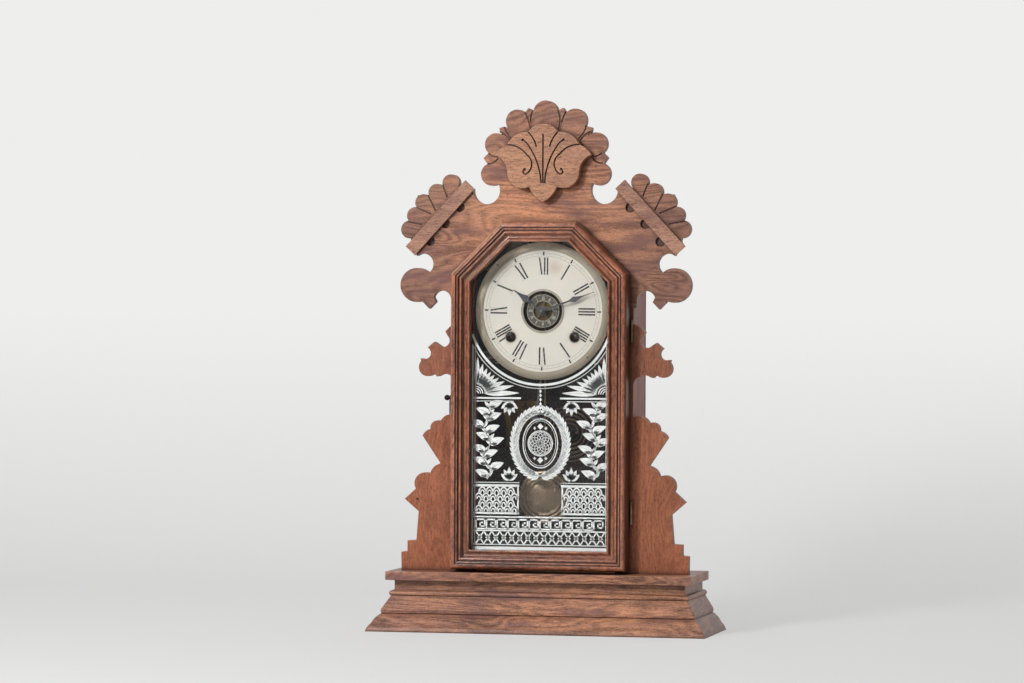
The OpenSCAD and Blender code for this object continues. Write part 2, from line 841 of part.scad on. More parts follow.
// One window between two spokes
function window(r0, r1, a0, a1) = concat(
    [for (i = [0:5]) r1 * dir(a0 + (a1 - a0) * i / 5)],
    [for (i = [3:-1:0]) r0 * dir(a0 + (a1 - a0) * i / 3)]
);

module toothed_wheel(p, y0, t, n, m, phase, hub, spokes = 5) {
    r = m * n / 2;
    translate([p.x, 0, p.y]) upright(y0, t) difference() {
        polygon(tooth_ring(n, m, phase));
        if (spokes > 0) for (i = [0:spokes - 1])
            polygon(window(hub, r - 2.2 * m - 1.4, (i + 0.14) * 360 / spokes, (i + 0.86) * 360 / spokes));
    }
}

// Cage pinion: pins between two round shrouds
module cage_pinion(p, y0, y1, n, m, phase) {
    r = m * n / 2;
    shroud = 0.6;
    for (y = [y0, y1 - shroud]) rod_y(p, y, y + shroud, r + 0.55 * m);
    for (i = [0:n - 1]) rod_y(p + r * dir(phase + i * 360 / n), y0, y1, 0.38 * m);
}

// Arbor between the plates with its two pivots
module train_arbor(p) {
    shoulder = 0.3;
    rod_y(p, plate_y + plate_t + shoulder, back_plate_y - shoulder, arbor_r);
    rod_y(p, plate_y, plate_y + plate_t + shoulder, pivot_r);
    rod_y(p, back_plate_y - shoulder, back_plate_y + plate_t, pivot_r);
}

// Phases of the going train, all in mesh at rest
great_phase = 0;
second_pin_phase = mesh_phase(great_at, second_at, great_phase, great_teeth, pin_count);
second_phase = 0;
centre_phase = mesh_phase(second_at, centre_at, second_phase, train_teeth, centre_teeth);
third_pin_phase = mesh_phase(second_at, third_at, second_phase, train_teeth, pin_count);
third_phase = 0;
escape_pin_phase = mesh_phase(third_at, escape_at, third_phase, train_teeth, pin_count);

module great_wheel(p, phase) {
    square_w = 3.2;
    toothed_wheel(p, great_y, 1.8, great_teeth, great_m, phase, 7);
    rod_y(p, great_y - 2, great_y + 3, 5.4);
    rod_y(p, plate_y + plate_t + 0.3, back_plate_y - 0.3, winder_r);
    rod_y(p, plate_y - 2, plate_y + plate_t + 0.3, 2);
    rod_y(p, back_plate_y - 0.3, back_plate_y + plate_t, 1.5);
    translate([p.x - square_w / 2, -8.6, p.y - square_w / 2]) cube([square_w, plate_y - 2 + 8.6, square_w]);
}

module second_wheel(p, y0, pin_phase, phase) {
    train_arbor(p);
    toothed_wheel(p, y0, wheel_t, train_teeth, fine_m, phase, 4);
    cage_pinion(p, great_y - 1, great_y + 2.8, pin_count, great_m, pin_phase);
}

module time_great_wheel() {
    color(brass) at_dial() great_wheel(great_at, great_phase);
}

module time_second_wheel() {
    color(brass) at_dial() second_wheel(second_at, second_y, second_pin_phase, second_phase);
}

module centre_wheel() {
    color(brass) at_dial() difference() {
        union() {
            toothed_wheel(centre_at, second_y, wheel_t, centre_teeth, fine_m, centre_phase, 4);
            rod_y(centre_at, second_y, second_y + 5, 3.2);
        }
        rod_y(centre_at, second_y - 1, second_y + 6, 1.8);
    }
}

module time_third_wheel() {
    color(brass) at_dial() {
        train_arbor(third_at);
        toothed_wheel(third_at, third_y, wheel_t, train_teeth, fine_m, third_phase, 4);
        cage_pinion(third_at, second_y - 0.9, second_y + wheel_t + 0.9, pin_count, fine_m, third_pin_phase);
    }
}

escape_r = 10.3;
function ratchet_ring(n, r0, r1, lean) = [
    for (i = [0:n - 1]) let (p = 360 / n, a = i * p)
        each [r0 * dir(a), r1 * dir(a + lean * p), r1 * dir(a + (lean + 0.12) * p), r0 * dir(a + 0.82 * p)]
];
module escape_wheel() {
    color(brass) at_dial() {
        translate([escape_at.x, 0, escape_at.y]) upright(escape_y, 1) difference() {
            polygon(ratchet_ring(escape_teeth, escape_r - 1.4, escape_r, 0.1));
            for (i = [0:4]) polygon(window(3, escape_r - 3, (i + 0.15) * 72, (i + 0.85) * 72));
        }
        rod_y(escape_at, escape_y - 0.8, escape_y + 2.2, 2);
        rod_y(escape_at, escape_y + 1, plate_y + plate_t + 0.3, pivot_r);
        rod_y(escape_at, plate_y + plate_t + 0.3, back_plate_y - 0.3, arbor_r);
        rod_y(escape_at, back_plate_y - 0.3, back_plate_y + plate_t, pivot_r);
        cage_pinion(
            escape_at, third_y - 0.9, third_y + wheel_t + 0.9, pin_count, fine_m, escape_pin_phase
        );
    }
}

// ---- Motion work ----

small_pins = 10;
minute_teeth = 30;
hour_teeth = 32;
minute_y = -6.2;
hour_y = -9;
minute_phase = 0;
cannon_phase = mesh_phase(minute_wheel_at, centre_at, minute_phase, minute_teeth, small_pins);
hour_pin_phase = 0;
hour_phase = mesh_phase(minute_wheel_at, centre_at, hour_pin_phase, pin_count, hour_teeth);

module centre_arbor() {
    color(steel) at_dial() {
        bar_y(centre_at, minute_hand_y - 2, minute_hand_y + hand_t, tip_r);
        bar_y(centre_at, minute_hand_y + hand_t, plate_y - 0.6, 1.6);
        rod_y(centre_at, plate_y - 0.6, back_plate_y - 0.3, 1.6);
        rod_y(centre_at, back_plate_y - 0.3, back_plate_y + plate_t, pivot_r);
        cage_pinion(centre_at, minute_y - 0.9, minute_y + 1.9, small_pins, motion_m, cannon_phase);
    }
}

module hour_wheel() {
    color(brass) at_dial() difference() {
        union() {
            toothed_wheel(centre_at, hour_y, 1, hour_teeth, motion_m, hour_phase, 5, 0);
            bar_y(centre_at, hour_hand_y, hour_y + 1, pipe_r);
        }
        bar_y(centre_at, hour_hand_y - 1, hour_y + 2, pipe_in);
    }
}

module alarm_disc() {
    disc_y = -12.4;
    disc_r = 18.5;
    color(old_brass) at_dial() upright(disc_y, 0.8) difference() {
        circle(disc_r);
        circle(pipe_r + run);
        for (i = [0:4]) polygon(window(5.4, 10.4, (i + 0.1) * 72 + 12, (i + 0.9) * 72 + 12));
    }
}

module minute_wheel() {
    color(brass) at_dial() difference() {
        union() {
            toothed_wheel(minute_wheel_at, minute_y, 1, minute_teeth, motion_m, minute_phase, 5, 0);
            cage_pinion(minute_wheel_at, hour_y - 0.8, hour_y + 1.7, pin_count, motion_m, hour_pin_phase);
            rod_y(minute_wheel_at, hour_y - 0.8, minute_y + 2, 2);
        }
        bar_y(minute_wheel_at, hour_y - 2, minute_y + 3, 1.05);
    }
}

// ---- Escapement and pendulum ----

// Steel strip bent over the escape wheel, its stud tube and the crutch wire with its fork
module verge() {
    reach = pendulum_at.y - escape_at.y;
    clear_r = escape_r + 0.35;
    foot_a = 38;
    tip = clear_r * dir(90 + foot_a);
    crutch_l = 24;
    crutch_y = 1.9;
    crutch_t = 0.7;
    color(steel) at_dial() translate([pendulum_at.x, 0, pendulum_at.y]) {
        difference() {
            union() {
                rod_y([0, 0], crutch_y + crutch_t - 0.3, 7, 1.9);
                both_sides() upright(escape_y, 1) polygon(ribbon([
                    [0, 1.5], [-5.5, -0.5], [-9.2, -3.4], [tip.x - 0.7, tip.y - reach + 1.3]
                ], 1));
            }
            bar_y([0, 0], crutch_y - 1, 8, 0.85);
        }
        upright(crutch_y, crutch_t) polygon(ribbon([[0, -1.2], [0, -crutch_l]], 1));
        for (s = [-1, 1]) block(
            s * 1.75 - 0.45, s * 1.75 + 0.45, pendulum_y - 1, crutch_y + 0.2, -crutch_l - 1, -crutch_l
        );
        block(-2.2, 2.2, crutch_y, crutch_y + crutch_t, -crutch_l - 1, -crutch_l);
    }
}

// Studs of the front plate: the pendulum's post, the verge's stud and the minute wheel's stud
module movement_studs() {
    color(brass) at_dial() {
        difference() {
            union() {
                bar_y([0, pendulum_at.y + 7], -1.6, plate_y, 2.2);
                block(-2.2, 2.2, -1.6, 2.2, pendulum_at.y + 0.8, pendulum_at.y + 7);
            }
            block(-3, 3, pendulum_y - 0.15, pendulum_y + 0.15, pendulum_at.y - 1, pendulum_at.y + 5);
        }
        bar_y(pendulum_at, 2.7, plate_y, 0.8);
        bar_y(minute_wheel_at, hour_y - 1.2, plate_y, 1);
    }
}

// Wire rod with the loop that clears the centre arbor, hung by a flat spring
wire_r = 0.9;
rod_end = bob_z + bob_r - 4;
module pendulum_rod() {
    loop_r = 7.4;
    top = pendulum_at.y;
    color(steel) at_dial() {
        block(-1.2, 1.2, pendulum_y - 0.1, pendulum_y + 0.1, top - 9, top + 0.3);
        translate([0, pendulum_y, loop_r - 0.3]) cylinder(h = top - 8 - loop_r + 0.3, r = wire_r);
        translate([0, pendulum_y, 0]) rotate([90, 0, 0])
            rotate_extrude($fn = 48) translate([loop_r, 0]) circle(wire_r);
        translate([0, pendulum_y, rod_end]) cylinder(h = -loop_r + 0.3 - rod_end, r = wire_r);
    }
}

// Bob: radius, height in front of its middle plane
module pendulum_bob() {
    rise = 4;
    color(old_brass) at_dial() difference() {
        translate([0, pendulum_y, bob_z]) rotate([90, 0, 0]) rotate_extrude($fn = 96) polygon(concat(
            [[0, -2.6], [bob_r - 4, -2], [bob_r, -0.6], [bob_r, 0.6]],
            arc3([bob_r - 0.4, 1], [bob_r - 2, 1.9], [bob_r - 4, 1.2], 4),
            arc3([bob_r - 4.6, 1.4], [bob_r - 6.4, 2.4], [bob_r - 8.2, 1.7], 4),
            arc3([bob_r - 8.8, 1.9], [bob_r - 10.6, 2.9], [bob_r - 12.4, 2.1], 4),
            arc3([bob_r - 13, 2], [8, rise - 0.6], [0, rise], 6)
        ));
        translate([0, pendulum_y, rod_end]) cylinder(h = bob_r, r = wire_r);
    }
}

// ---- Strike ----

module strike_great_wheel() {
    color(brass) at_dial() great_wheel(mirror_x(great_at), 180 - great_phase);
}

module strike_second_wheel() {
    p = mirror_x(second_at);
    lift_r = 18.4;
    color(brass) at_dial() {
        second_wheel(p, strike_second_y, 180 - second_pin_phase, 180 - second_phase);
        for (i = [0:7]) rod_y(p + lift_r * dir(i * 45 + 10), lift_y, strike_second_y + 0.4, 0.7);
    }
}

module strike_third_wheel() {
    p = mirror_x(third_at);
    color(brass) at_dial() {
        train_arbor(p);
        toothed_wheel(p, strike_third_y, wheel_t, train_teeth, fine_m, 180 - third_phase, 4);
        cage_pinion(
            p, strike_second_y - 0.9, strike_second_y + wheel_t + 0.9, pin_count, fine_m,
            180 - third_pin_phase
        );
    }
}

module strike_fly() {
    blade_r = 10;
    fly_phase = mesh_phase(mirror_x(third_at), fly_at, 180 - third_phase, train_teeth, pin_count);
    color(brass) at_dial() {
        train_arbor(fly_at);
        cage_pinion(
            fly_at, strike_third_y - 0.9, strike_third_y + wheel_t + 0.9, pin_count, fine_m, fly_phase
        );
        translate([fly_at.x, 0, fly_at.y]) rotate([0, 25, 0]) block(-blade_r, blade_r, 17, 30, -0.4, 0.4);
    }
}

// Lever with its tail at the lifting pins and its head beside the gong
module strike_hammer() {
    wheel_at = mirror_x(second_at);
    tail = wheel_at + 20.8 * (hammer_at - wheel_at) / norm(hammer_at - wheel_at);
    head = [-19.2, -120.5];
    color(steel) at_dial() {
        train_arbor(hammer_at);
        rod_y(hammer_at, lift_y, 38, 2);
        upright(lift_y + 0.6, 1.2) polygon(ribbon([hammer_at, tail], 2.2));
        upright(35, 1.4) polygon(ribbon([hammer_at, hammer_at + [-12, -24], head], 1.8));
        translate([head.x, 34, head.y]) rotate([0, 30, 0]) block(-4, 5, 0, 8, -3.4, 3.4);
    }
}

// ---- Frame of the movement ----

full_arbors = [
    second_at, third_at, escape_at, mirror_x(second_at), mirror_x(third_at), fly_at, hammer_at
];
module plate_outline() {
    edge_r = 5;
    translate([0, (plate_top + plate_bottom) / 2]) difference() {
        square([2 * plate_half_w, plate_top - plate_bottom], center = true);
        for (x = [-1, 1], z = [-1, 1])
            translate([x * plate_half_w, z * (plate_top - plate_bottom) / 2]) difference() {
                square(2 * edge_r, center = true);
                translate([-x * edge_r, -z * edge_r]) circle(edge_r);
            }
    }
}

module front_plate() {
    color(brass) at_dial() difference() {
        upright(plate_y, plate_t) plate_outline();
        for (p = full_arbors) bar_y(p, plate_y - 1, plate_y + 3, pivot_r + run);
        for (s = [-1, 1]) bar_y([s * wind_x, wind_z], plate_y - 1, plate_y + 3, 2 + run);
        bar_y(centre_at, plate_y - 1, plate_y + 3, 1.6 + run);
        for (p = pillars) bar_y(p, plate_y - 1, plate_y + 3, 1.5);
    }
}

module back_plate() {
    y0 = back_plate_y - 1;
    y1 = back_plate_y + plate_t + 1;
    color(brass) at_dial() difference() {
        upright(back_plate_y, plate_t) plate_outline();
        for (p = concat(full_arbors, [centre_at])) bar_y(p, y0, y1, pivot_r + run);
        for (s = [-1, 1]) bar_y([s * wind_x, wind_z], y0, y1, 1.5 + run);
        for (p = concat(pillars, feet)) bar_y(p, y0, y1, 1.5);
    }
}

module plate_pillars() {
    color(steel) at_dial() for (p = pillars) {
        bar_y(p, plate_y - 2.4, plate_y + plate_t, 1.5);
        bar_y(p, plate_y + plate_t, back_plate_y, 3);
        bar_y(p, back_plate_y, back_plate_y + plate_t, 1.5);
    }
}

module pillar_nuts() {
    color(steel) at_dial() for (p = pillars)
        translate([p.x, plate_y - 2, p.y]) rotate([-90, 0, 0]) difference() {
            cylinder(h = 2, r = 3.4, $fn = 6);
            translate([0, 0, -1]) cylinder(h = 4, r = 1.5);
        }
}

// Two spiral mainsprings, each one strip
spring_turns = 8;
spring_out = 21;
spring_in = 4;
function spiral(turns, r0, r1, steps) = [
    for (i = [0:turns * steps]) let (a = 360 * i / steps) (r0 + (r1 - r0) * i / (turns * steps)) * dir(a)
];
module mainsprings() {
    color(steel) at_dial() for (s = [-1, 1])
        translate([s * wind_x, 0, wind_z]) upright(spring_y, spring_w)
            polygon(ribbon(spiral(spring_turns, spring_in, spring_out, 18), 0.5));
}

// ---- Gong and alarm ----

// Flat spiral of round wire, fixed at its inner end in the block's slot
gong_steps = 24;
gong_sides = 6;
gong_lug = 5.5;
gong_bend = 2.4;
gong_pitch = (gong_out_r - gong_in_r) / gong_turns;
function gong_turn(i) = (gong_in_r + gong_pitch * i / gong_steps) * dir(14 + 360 * i / gong_steps);
gong_last = gong_turns * gong_steps;
gong_path = concat(
    [[gong_lug, 0]],
    arc([gong_in_r - 0.3 - gong_bend, gong_bend], gong_bend, -90, 0, 4),
    [for (i = [1:gong_last]) gong_turn(i)],
    [gong_turn(gong_last) + 2 * gong_wire_r * dir(104)]
);
gong_end = len(gong_path) - 1;
gong_apart = [
    for (i = [0:gong_end], j = [i + gong_steps / 2:gong_end]) norm(gong_path[i] - gong_path[j])
];
echo(gong_gap = min(gong_apart) - 2 * gong_wire_r);
function gong_ring(i) =
    let (n = side_of(gong_path, i), c = gong_path[i])
    [for (k = [0:gong_sides - 1]) let (a = 360 * k / gong_sides)
        [c.x + n.x * gong_wire_r * cos(a), gong_wire_r * sin(a), c.y + n.y * gong_wire_r * cos(a)]];
module tube_of_rings(rings, sides) {
    last = len(rings) - 1;
    polyhedron(
        points = [for (r = rings) each r],
        faces = concat(
            [for (i = [0:last - 1], k = [0:sides - 1]) each [
                [i * sides + k, (i + 1) * sides + (k + 1) % sides, i * sides + (k + 1) % sides],
                [i * sides + k, (i + 1) * sides + k, (i + 1) * sides + (k + 1) % sides]
            ]],
            [for (k = [1:sides - 2]) [0, k, k + 1]],
            [for (k = [1:sides - 2]) [last * sides, last * sides + k + 1, last * sides + k]]
        )
    );
}

module gong_coil() {
    color(steel) translate([gong_at.x, gong_y, gong_at.y])
        tube_of_rings([for (i = [0:gong_end]) gong_ring(i)], gong_sides);
}

module gong_block() {
    color(iron) {
        bar_y(gong_at, gong_y - 5, back_y, 4.8);
        block(
            gong_at.x, gong_at.x + gong_lug, gong_y - 2.4, gong_y + 2.4, gong_at.y - 2.4, gong_at.y + 2.4
        );
        bar_y(gong_at, back_y - 4, back_y, 9);
        bar_y(gong_at, back_y, back_y + back_t, 2);
        bar_y(gong_at, gong_y - 8, gong_y - 5, 3.4);
    }
}

module alarm_frame() {
    posts = [for (p = [[-13.2, 27], [4.4, 27], [0, -17]]) alarm_at + p];
    screws = [for (x = [-12, 12]) alarm_at + [x, 12]];
    front_y = 24.6;
    front_t = 1.4;
    color(brass) {
        difference() {
            block(
                alarm_at.x - 17, alarm_at.x + 17, back_y - 1.5, back_y, alarm_at.y - 20, alarm_at.y + 31
            );
            for (p = [alarm_at, alarm_pivot]) bar_y(p, back_y - 2, back_y + 1, pivot_r + run);
            for (p = screws) bar_y(p, back_y - 2, back_y + 1, 1);
        }
        for (p = screws) bar_y(p, back_y - 1.5, back_y + 4, 1);
        for (p = posts) bar_y(p, front_y + 0.2, back_y - 1, 1.6);
        difference() {
            upright(front_y, front_t) {
                polygon(ribbon([posts[0] + [-2, 3], posts[2] + [0, -3]], 5));
                polygon(ribbon([posts[1] + [2, 3], posts[2] + [0, -3]], 5));
                polygon(ribbon([posts[0] + [-3, -1.2], posts[1] + [3, -1.2]], 8));
                polygon(ribbon([alarm_at + [-8, 0], alarm_at + [8, 0]], 7));
            }
            bar_y(alarm_at, front_y - 1, front_y + 2, 1.5 + run);
            bar_y(alarm_pivot, front_y - 1, front_y + 2, pivot_r + run);
        }
    }
}

module alarm_wheel() {
    color(brass) {
        translate([alarm_at.x, 0, alarm_at.y]) upright(alarm_wheel_y, 1.2)
            polygon(ratchet_ring(24, 9.6, 12, 0.1));
        rod_y(alarm_at, 26.3, back_y - 1.8, 1.8);
        rod_y(alarm_at, 18, 26.3, 1.5);
        rod_y(alarm_at, back_y - 1.8, back_y, pivot_r);
        translate([alarm_at.x, 18, alarm_at.y]) rotate([0, 30, 0]) block(-5, 5, -1, 1, -2, 2);
    }
}

module alarm_hammer() {
    head = [-27, 205.5];
    color(steel) {
        rod_y(alarm_pivot, 24.6, 26.3, pivot_r);
        rod_y(alarm_pivot, 26.3, back_y - 1.8, 1.4);
        rod_y(alarm_pivot, back_y - 1.8, back_y, pivot_r);
        upright(43.6, 1.2) polygon(ribbon([alarm_pivot, [-28, 234], head], 1.6));
        translate([head.x, 38, head.y]) rotate([0, -17, 0]) block(-3, 3, 0, 6.8, -4, 4);
    }
}

base_front_moulding();
base_left_moulding();
base_right_moulding();
base_back_rail();
base_top_board();
case_side_left();
case_side_right();
case_top_board();
back_board();
front_top_panel();
crest_ornament();
ear_bars();
side_board_left();
side_board_right();
case_hinge_leaves();
case_blocks();
dial_pan();
dial_bezel();
dial_paper();
dial_grommets();
case_screws();
front_plate();
back_plate();
plate_pillars();
pillar_nuts();
mainsprings();
gong_coil();
gong_block();
movement_studs();
alarm_frame();
door_bottom_rail();
door_left_stile();
door_right_stile();
door_left_diagonal();
door_right_diagonal();
door_top_rail();
door_glass();
door_hinge_leaves();
door_latch();
centre_arbor();
minute_hand();
hour_wheel();
hour_hand();
alarm_disc();
minute_wheel();
time_great_wheel();
time_second_wheel();
centre_wheel();
time_third_wheel();
escape_wheel();
verge();
pendulum_rod();
pendulum_bob();
strike_great_wheel();
strike_second_wheel();
strike_third_wheel();
strike_fly();
strike_hammer();
alarm_wheel();
alarm_hammer();
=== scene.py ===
import math

import bpy
from bpy.props import FloatProperty, FloatVectorProperty, IntProperty, PointerProperty
from mathutils import Matrix, Vector


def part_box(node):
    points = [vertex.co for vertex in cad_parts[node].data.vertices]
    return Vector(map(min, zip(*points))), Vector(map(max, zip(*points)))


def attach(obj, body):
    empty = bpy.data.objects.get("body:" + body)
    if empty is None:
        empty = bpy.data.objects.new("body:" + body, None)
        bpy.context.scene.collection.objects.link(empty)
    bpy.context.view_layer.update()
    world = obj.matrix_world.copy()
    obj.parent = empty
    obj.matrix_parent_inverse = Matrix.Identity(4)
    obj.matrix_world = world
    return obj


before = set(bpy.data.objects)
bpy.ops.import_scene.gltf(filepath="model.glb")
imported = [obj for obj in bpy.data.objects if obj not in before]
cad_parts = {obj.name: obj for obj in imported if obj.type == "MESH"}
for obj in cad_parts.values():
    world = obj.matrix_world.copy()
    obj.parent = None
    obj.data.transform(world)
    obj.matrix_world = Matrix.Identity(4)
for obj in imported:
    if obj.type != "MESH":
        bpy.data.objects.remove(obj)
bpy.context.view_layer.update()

bl_info = {
    "name": "Shelf clock",
    "version": (1, 0, 0),
    "blender": (4, 5, 0),
    "location": "3D View > Sidebar > Shelf Clock",
    "description": "Finishes, dial print, glass print and studio for a carved wooden shelf clock",
    "category": "Object",
}

MM = 0.001


def srgb(red, green, blue):
    """Linear colour of an 8-bit display colour."""
    return tuple(((c / 255 + 0.055) / 1.055) ** 2.4 for c in (red, green, blue))


def tinted(tone, share, tint=(1.0, 1.0, 1.0)):
    """A tone made darker or lighter by a share, and tinted."""
    return tuple(c * share * k for c, k in zip(tone, tint))


def middle(node):
    """Middle of a node's box."""
    low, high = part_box(node)
    return (low + high) / 2


# ---- Places ----

# Taken from the frame
DIAL_MIDDLE = middle("dial_pan")
PAPER_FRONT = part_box("dial_paper")[0].y
DISC_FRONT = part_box("alarm_disc")[0].y
GLASS_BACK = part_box("door_glass")[1].y
DOOR_X = middle("door_glass").x
BOARD_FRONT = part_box("side_board_left")[0].y
# Middles of the winding holes, from the dial's middle
WIND_X = 36.2 * MM
WIND_Z = -28.8 * MM
# Old nail hole in the left side board, drawn as a dark disc of painted shade
NAIL_HOLE = (-0.1442, 0.1445)
NAIL_HOLE_RADIUS = 1.2 * MM
# What the camera looks at, and the lamps
CAMERA_TARGET = Vector((-0.03687, -0.0152, 0.32002))
LAMP_TARGET = Vector((0, 0, 0.3))
SENSOR_WIDTH = 36.0

# Turns that lay a board's grain along X
GRAIN_ACROSS = (0.0, 0.0, 0.0)
GRAIN_UPRIGHT = (0.0, math.radians(90), 0.0)
GRAIN_DEEP = (0.0, 0.0, math.radians(-90))
GRAIN_RISING = (0.0, math.radians(45), 0.0)
GRAIN_FALLING = (0.0, math.radians(-45), 0.0)


# ---- Settings a user would change ----

def colour(name, description, default):
    return FloatVectorProperty(
        name=name, description=description, subtype="COLOR", size=3, min=0, max=1, default=default,
    )


def length(name, description, default):
    return FloatProperty(
        name=name, description=description, subtype="DISTANCE", unit="LENGTH", default=default, precision=4,
    )


def angle(name, description, degrees):
    return FloatProperty(
        name=name, description=description, subtype="ANGLE", unit="ROTATION", default=math.radians(degrees),
    )


def power(name, description, default):
    return FloatProperty(name=name, description=description, subtype="POWER", unit="POWER", default=default)


def number(name, description, default, low, high):
    return IntProperty(name=name, description=description, default=default, min=low, max=high)


class ClockWoodSettings(bpy.types.PropertyGroup):
    """Colours of the case's woods."""

    panel: colour("Top board", "Middle tone of the fretted top board", srgb(204, 141, 104))
    wing: colour("Side boards", "Middle tone of the fretted side boards", srgb(172, 103, 70))
    base: colour("Base", "Middle tone of the base", srgb(188, 130, 97))
    door: colour("Door", "Middle tone of the door's mouldings", srgb(174, 106, 74))
    carving: colour("Carving", "Middle tone of the applied carving", srgb(200, 146, 112))
    bar: colour("Ear bars", "Middle tone of the bars on the ears", srgb(184, 136, 112))
    case: colour("Case", "Middle tone of the stained case", srgb(178, 128, 120))
    # The dark inside of the back board is painted shade
    lining: colour("Back", "Middle tone of the back board, sooty inside", srgb(128, 90, 66))
    # Painted light: the blocks' colour is made much paler than their wood, to make up for the shade they
    # stand in
    block: colour("Blocks", "Bare wood of the blocks behind the dial", srgb(212, 215, 202))
    cool: colour("Bleached streaks", "Greyish purple of the weathered streaks", srgb(118, 80, 80))
    # Colour of the painted shade in grooves and corners, and on the faces turned from the lamp
    painted_shade: colour("Grime", "Dirt in the grooves and corners", srgb(52, 24, 14))
    # Also the colour of the painted highlights along edges and on the door's left diagonal
    worn: colour("Worn edge", "Wood laid bare along the edges", srgb(226, 176, 142))


class ClockMetalSettings(bpy.types.PropertyGroup):
    """Colours of the metals."""

    brass: colour("Brass", "Aged brass of the hinges", srgb(164, 142, 106))
    brass_dark: colour("Brass tarnish", "Dark film on the brass of the wheels", srgb(96, 78, 48))
    pan: colour("Dial ring", "Dull brass of the dial's ring", srgb(172, 158, 138))
    pan_dark: colour("Dial ring tarnish", "Brown film on the dial's ring", srgb(128, 114, 98))
    bob: colour("Bob", "Bronze of the pendulum bob", srgb(130, 112, 94))
    steel: colour("Steel", "Dull steel", srgb(120, 120, 124))
    blued: colour("Hands", "Dark steel of the hands", srgb(66, 66, 70))
    disc: colour("Alarm disc", "Grey metal of the alarm disc", srgb(76, 70, 62))
    # Painted shade: the movement's brass is darkened for the case's shade it stands in
    gear: colour("Wheels", "Brass of the movement in the case's shade", srgb(84, 66, 38))


class ClockDialSettings(bpy.types.PropertyGroup):
    """Paper dial and its print."""

    paper: colour("Paper", "Cream paper of the dial", srgb(204, 196, 187))
    stain: colour("Stain", "Brown stains of the paper", srgb(184, 163, 144))
    ink: colour("Ink", "Ink of the numerals", srgb(20, 18, 18))
    faint_ink: colour("Worn ink", "Ink of the worn hairlines and the minute track", srgb(128, 124, 112))
    turn: angle("Turn", "How far the paper is turned clockwise", 0.8)
    numeral_foot: length("Numeral foot", "Radius of the numerals' inner ends", 0.0402)
    numeral_top: length("Numeral top", "Radius of the numerals' outer ends", 0.0592)
    stroke: length("Stroke", "Width of a numeral's stroke", 0.0018)
    track_inner: length("Track inner", "Radius of the minute track's inner line", 0.0608)
    track_outer: length("Track outer", "Radius of the minute track's outer line", 0.0640)


class ClockPrintSettings(bpy.types.PropertyGroup):
    """Silvered print behind the door's glass."""

    silver: colour("Print", "Colour of the print", srgb(226, 224, 222))
    line: length("Line", "Width of the border line", 0.0017)
    half_width: length("Half width", "Half width of the printed border", 0.0772)
    vine_leaves: number("Vine leaves", "Leaves on each vine", 12, 3, 30)
    wreath_leaves: number("Wreath leaves", "Leaves on each side of the wreath", 20, 6, 40)


class ClockStageSettings(bpy.types.PropertyGroup):
    """Floor, lamps and camera."""

    backdrop: colour("Backdrop", "Colour of floor and backdrop", srgb(238, 238, 237))
    key_power: power("Key lamp", "Power of the main lamp", 24.0)
    top_power: power("Top lamp", "Power of the lamp above", 6.0)
    sky: FloatProperty(name="Fill", description="Strength of the light from all round", default=0.44)
    distance: length("Camera distance", "Distance of the camera from its target", 4.4308)
    azimuth: angle("Azimuth", "Camera's turn to the right", 12.889)
    elevation: angle("Elevation", "Camera's height angle", 0.329)
    roll: angle("Roll", "Camera's roll", 0.234)
    lens: FloatProperty(
        name="Lens", description="Focal length", subtype="DISTANCE_CAMERA", unit="CAMERA", default=140.9,
    )


# ---- Materials ----

# Tints of the wood's dark and light figure and of its pores
DARK_FIGURE = (1.0, 0.88, 0.86)
LIGHT_FIGURE = (1.0, 1.02, 1.0)
PORES = (0.40, 0.30, 0.28)
# Lower than real glass's 1.5, which keeps the reflections faint
GLASS_INDEX = 1.33


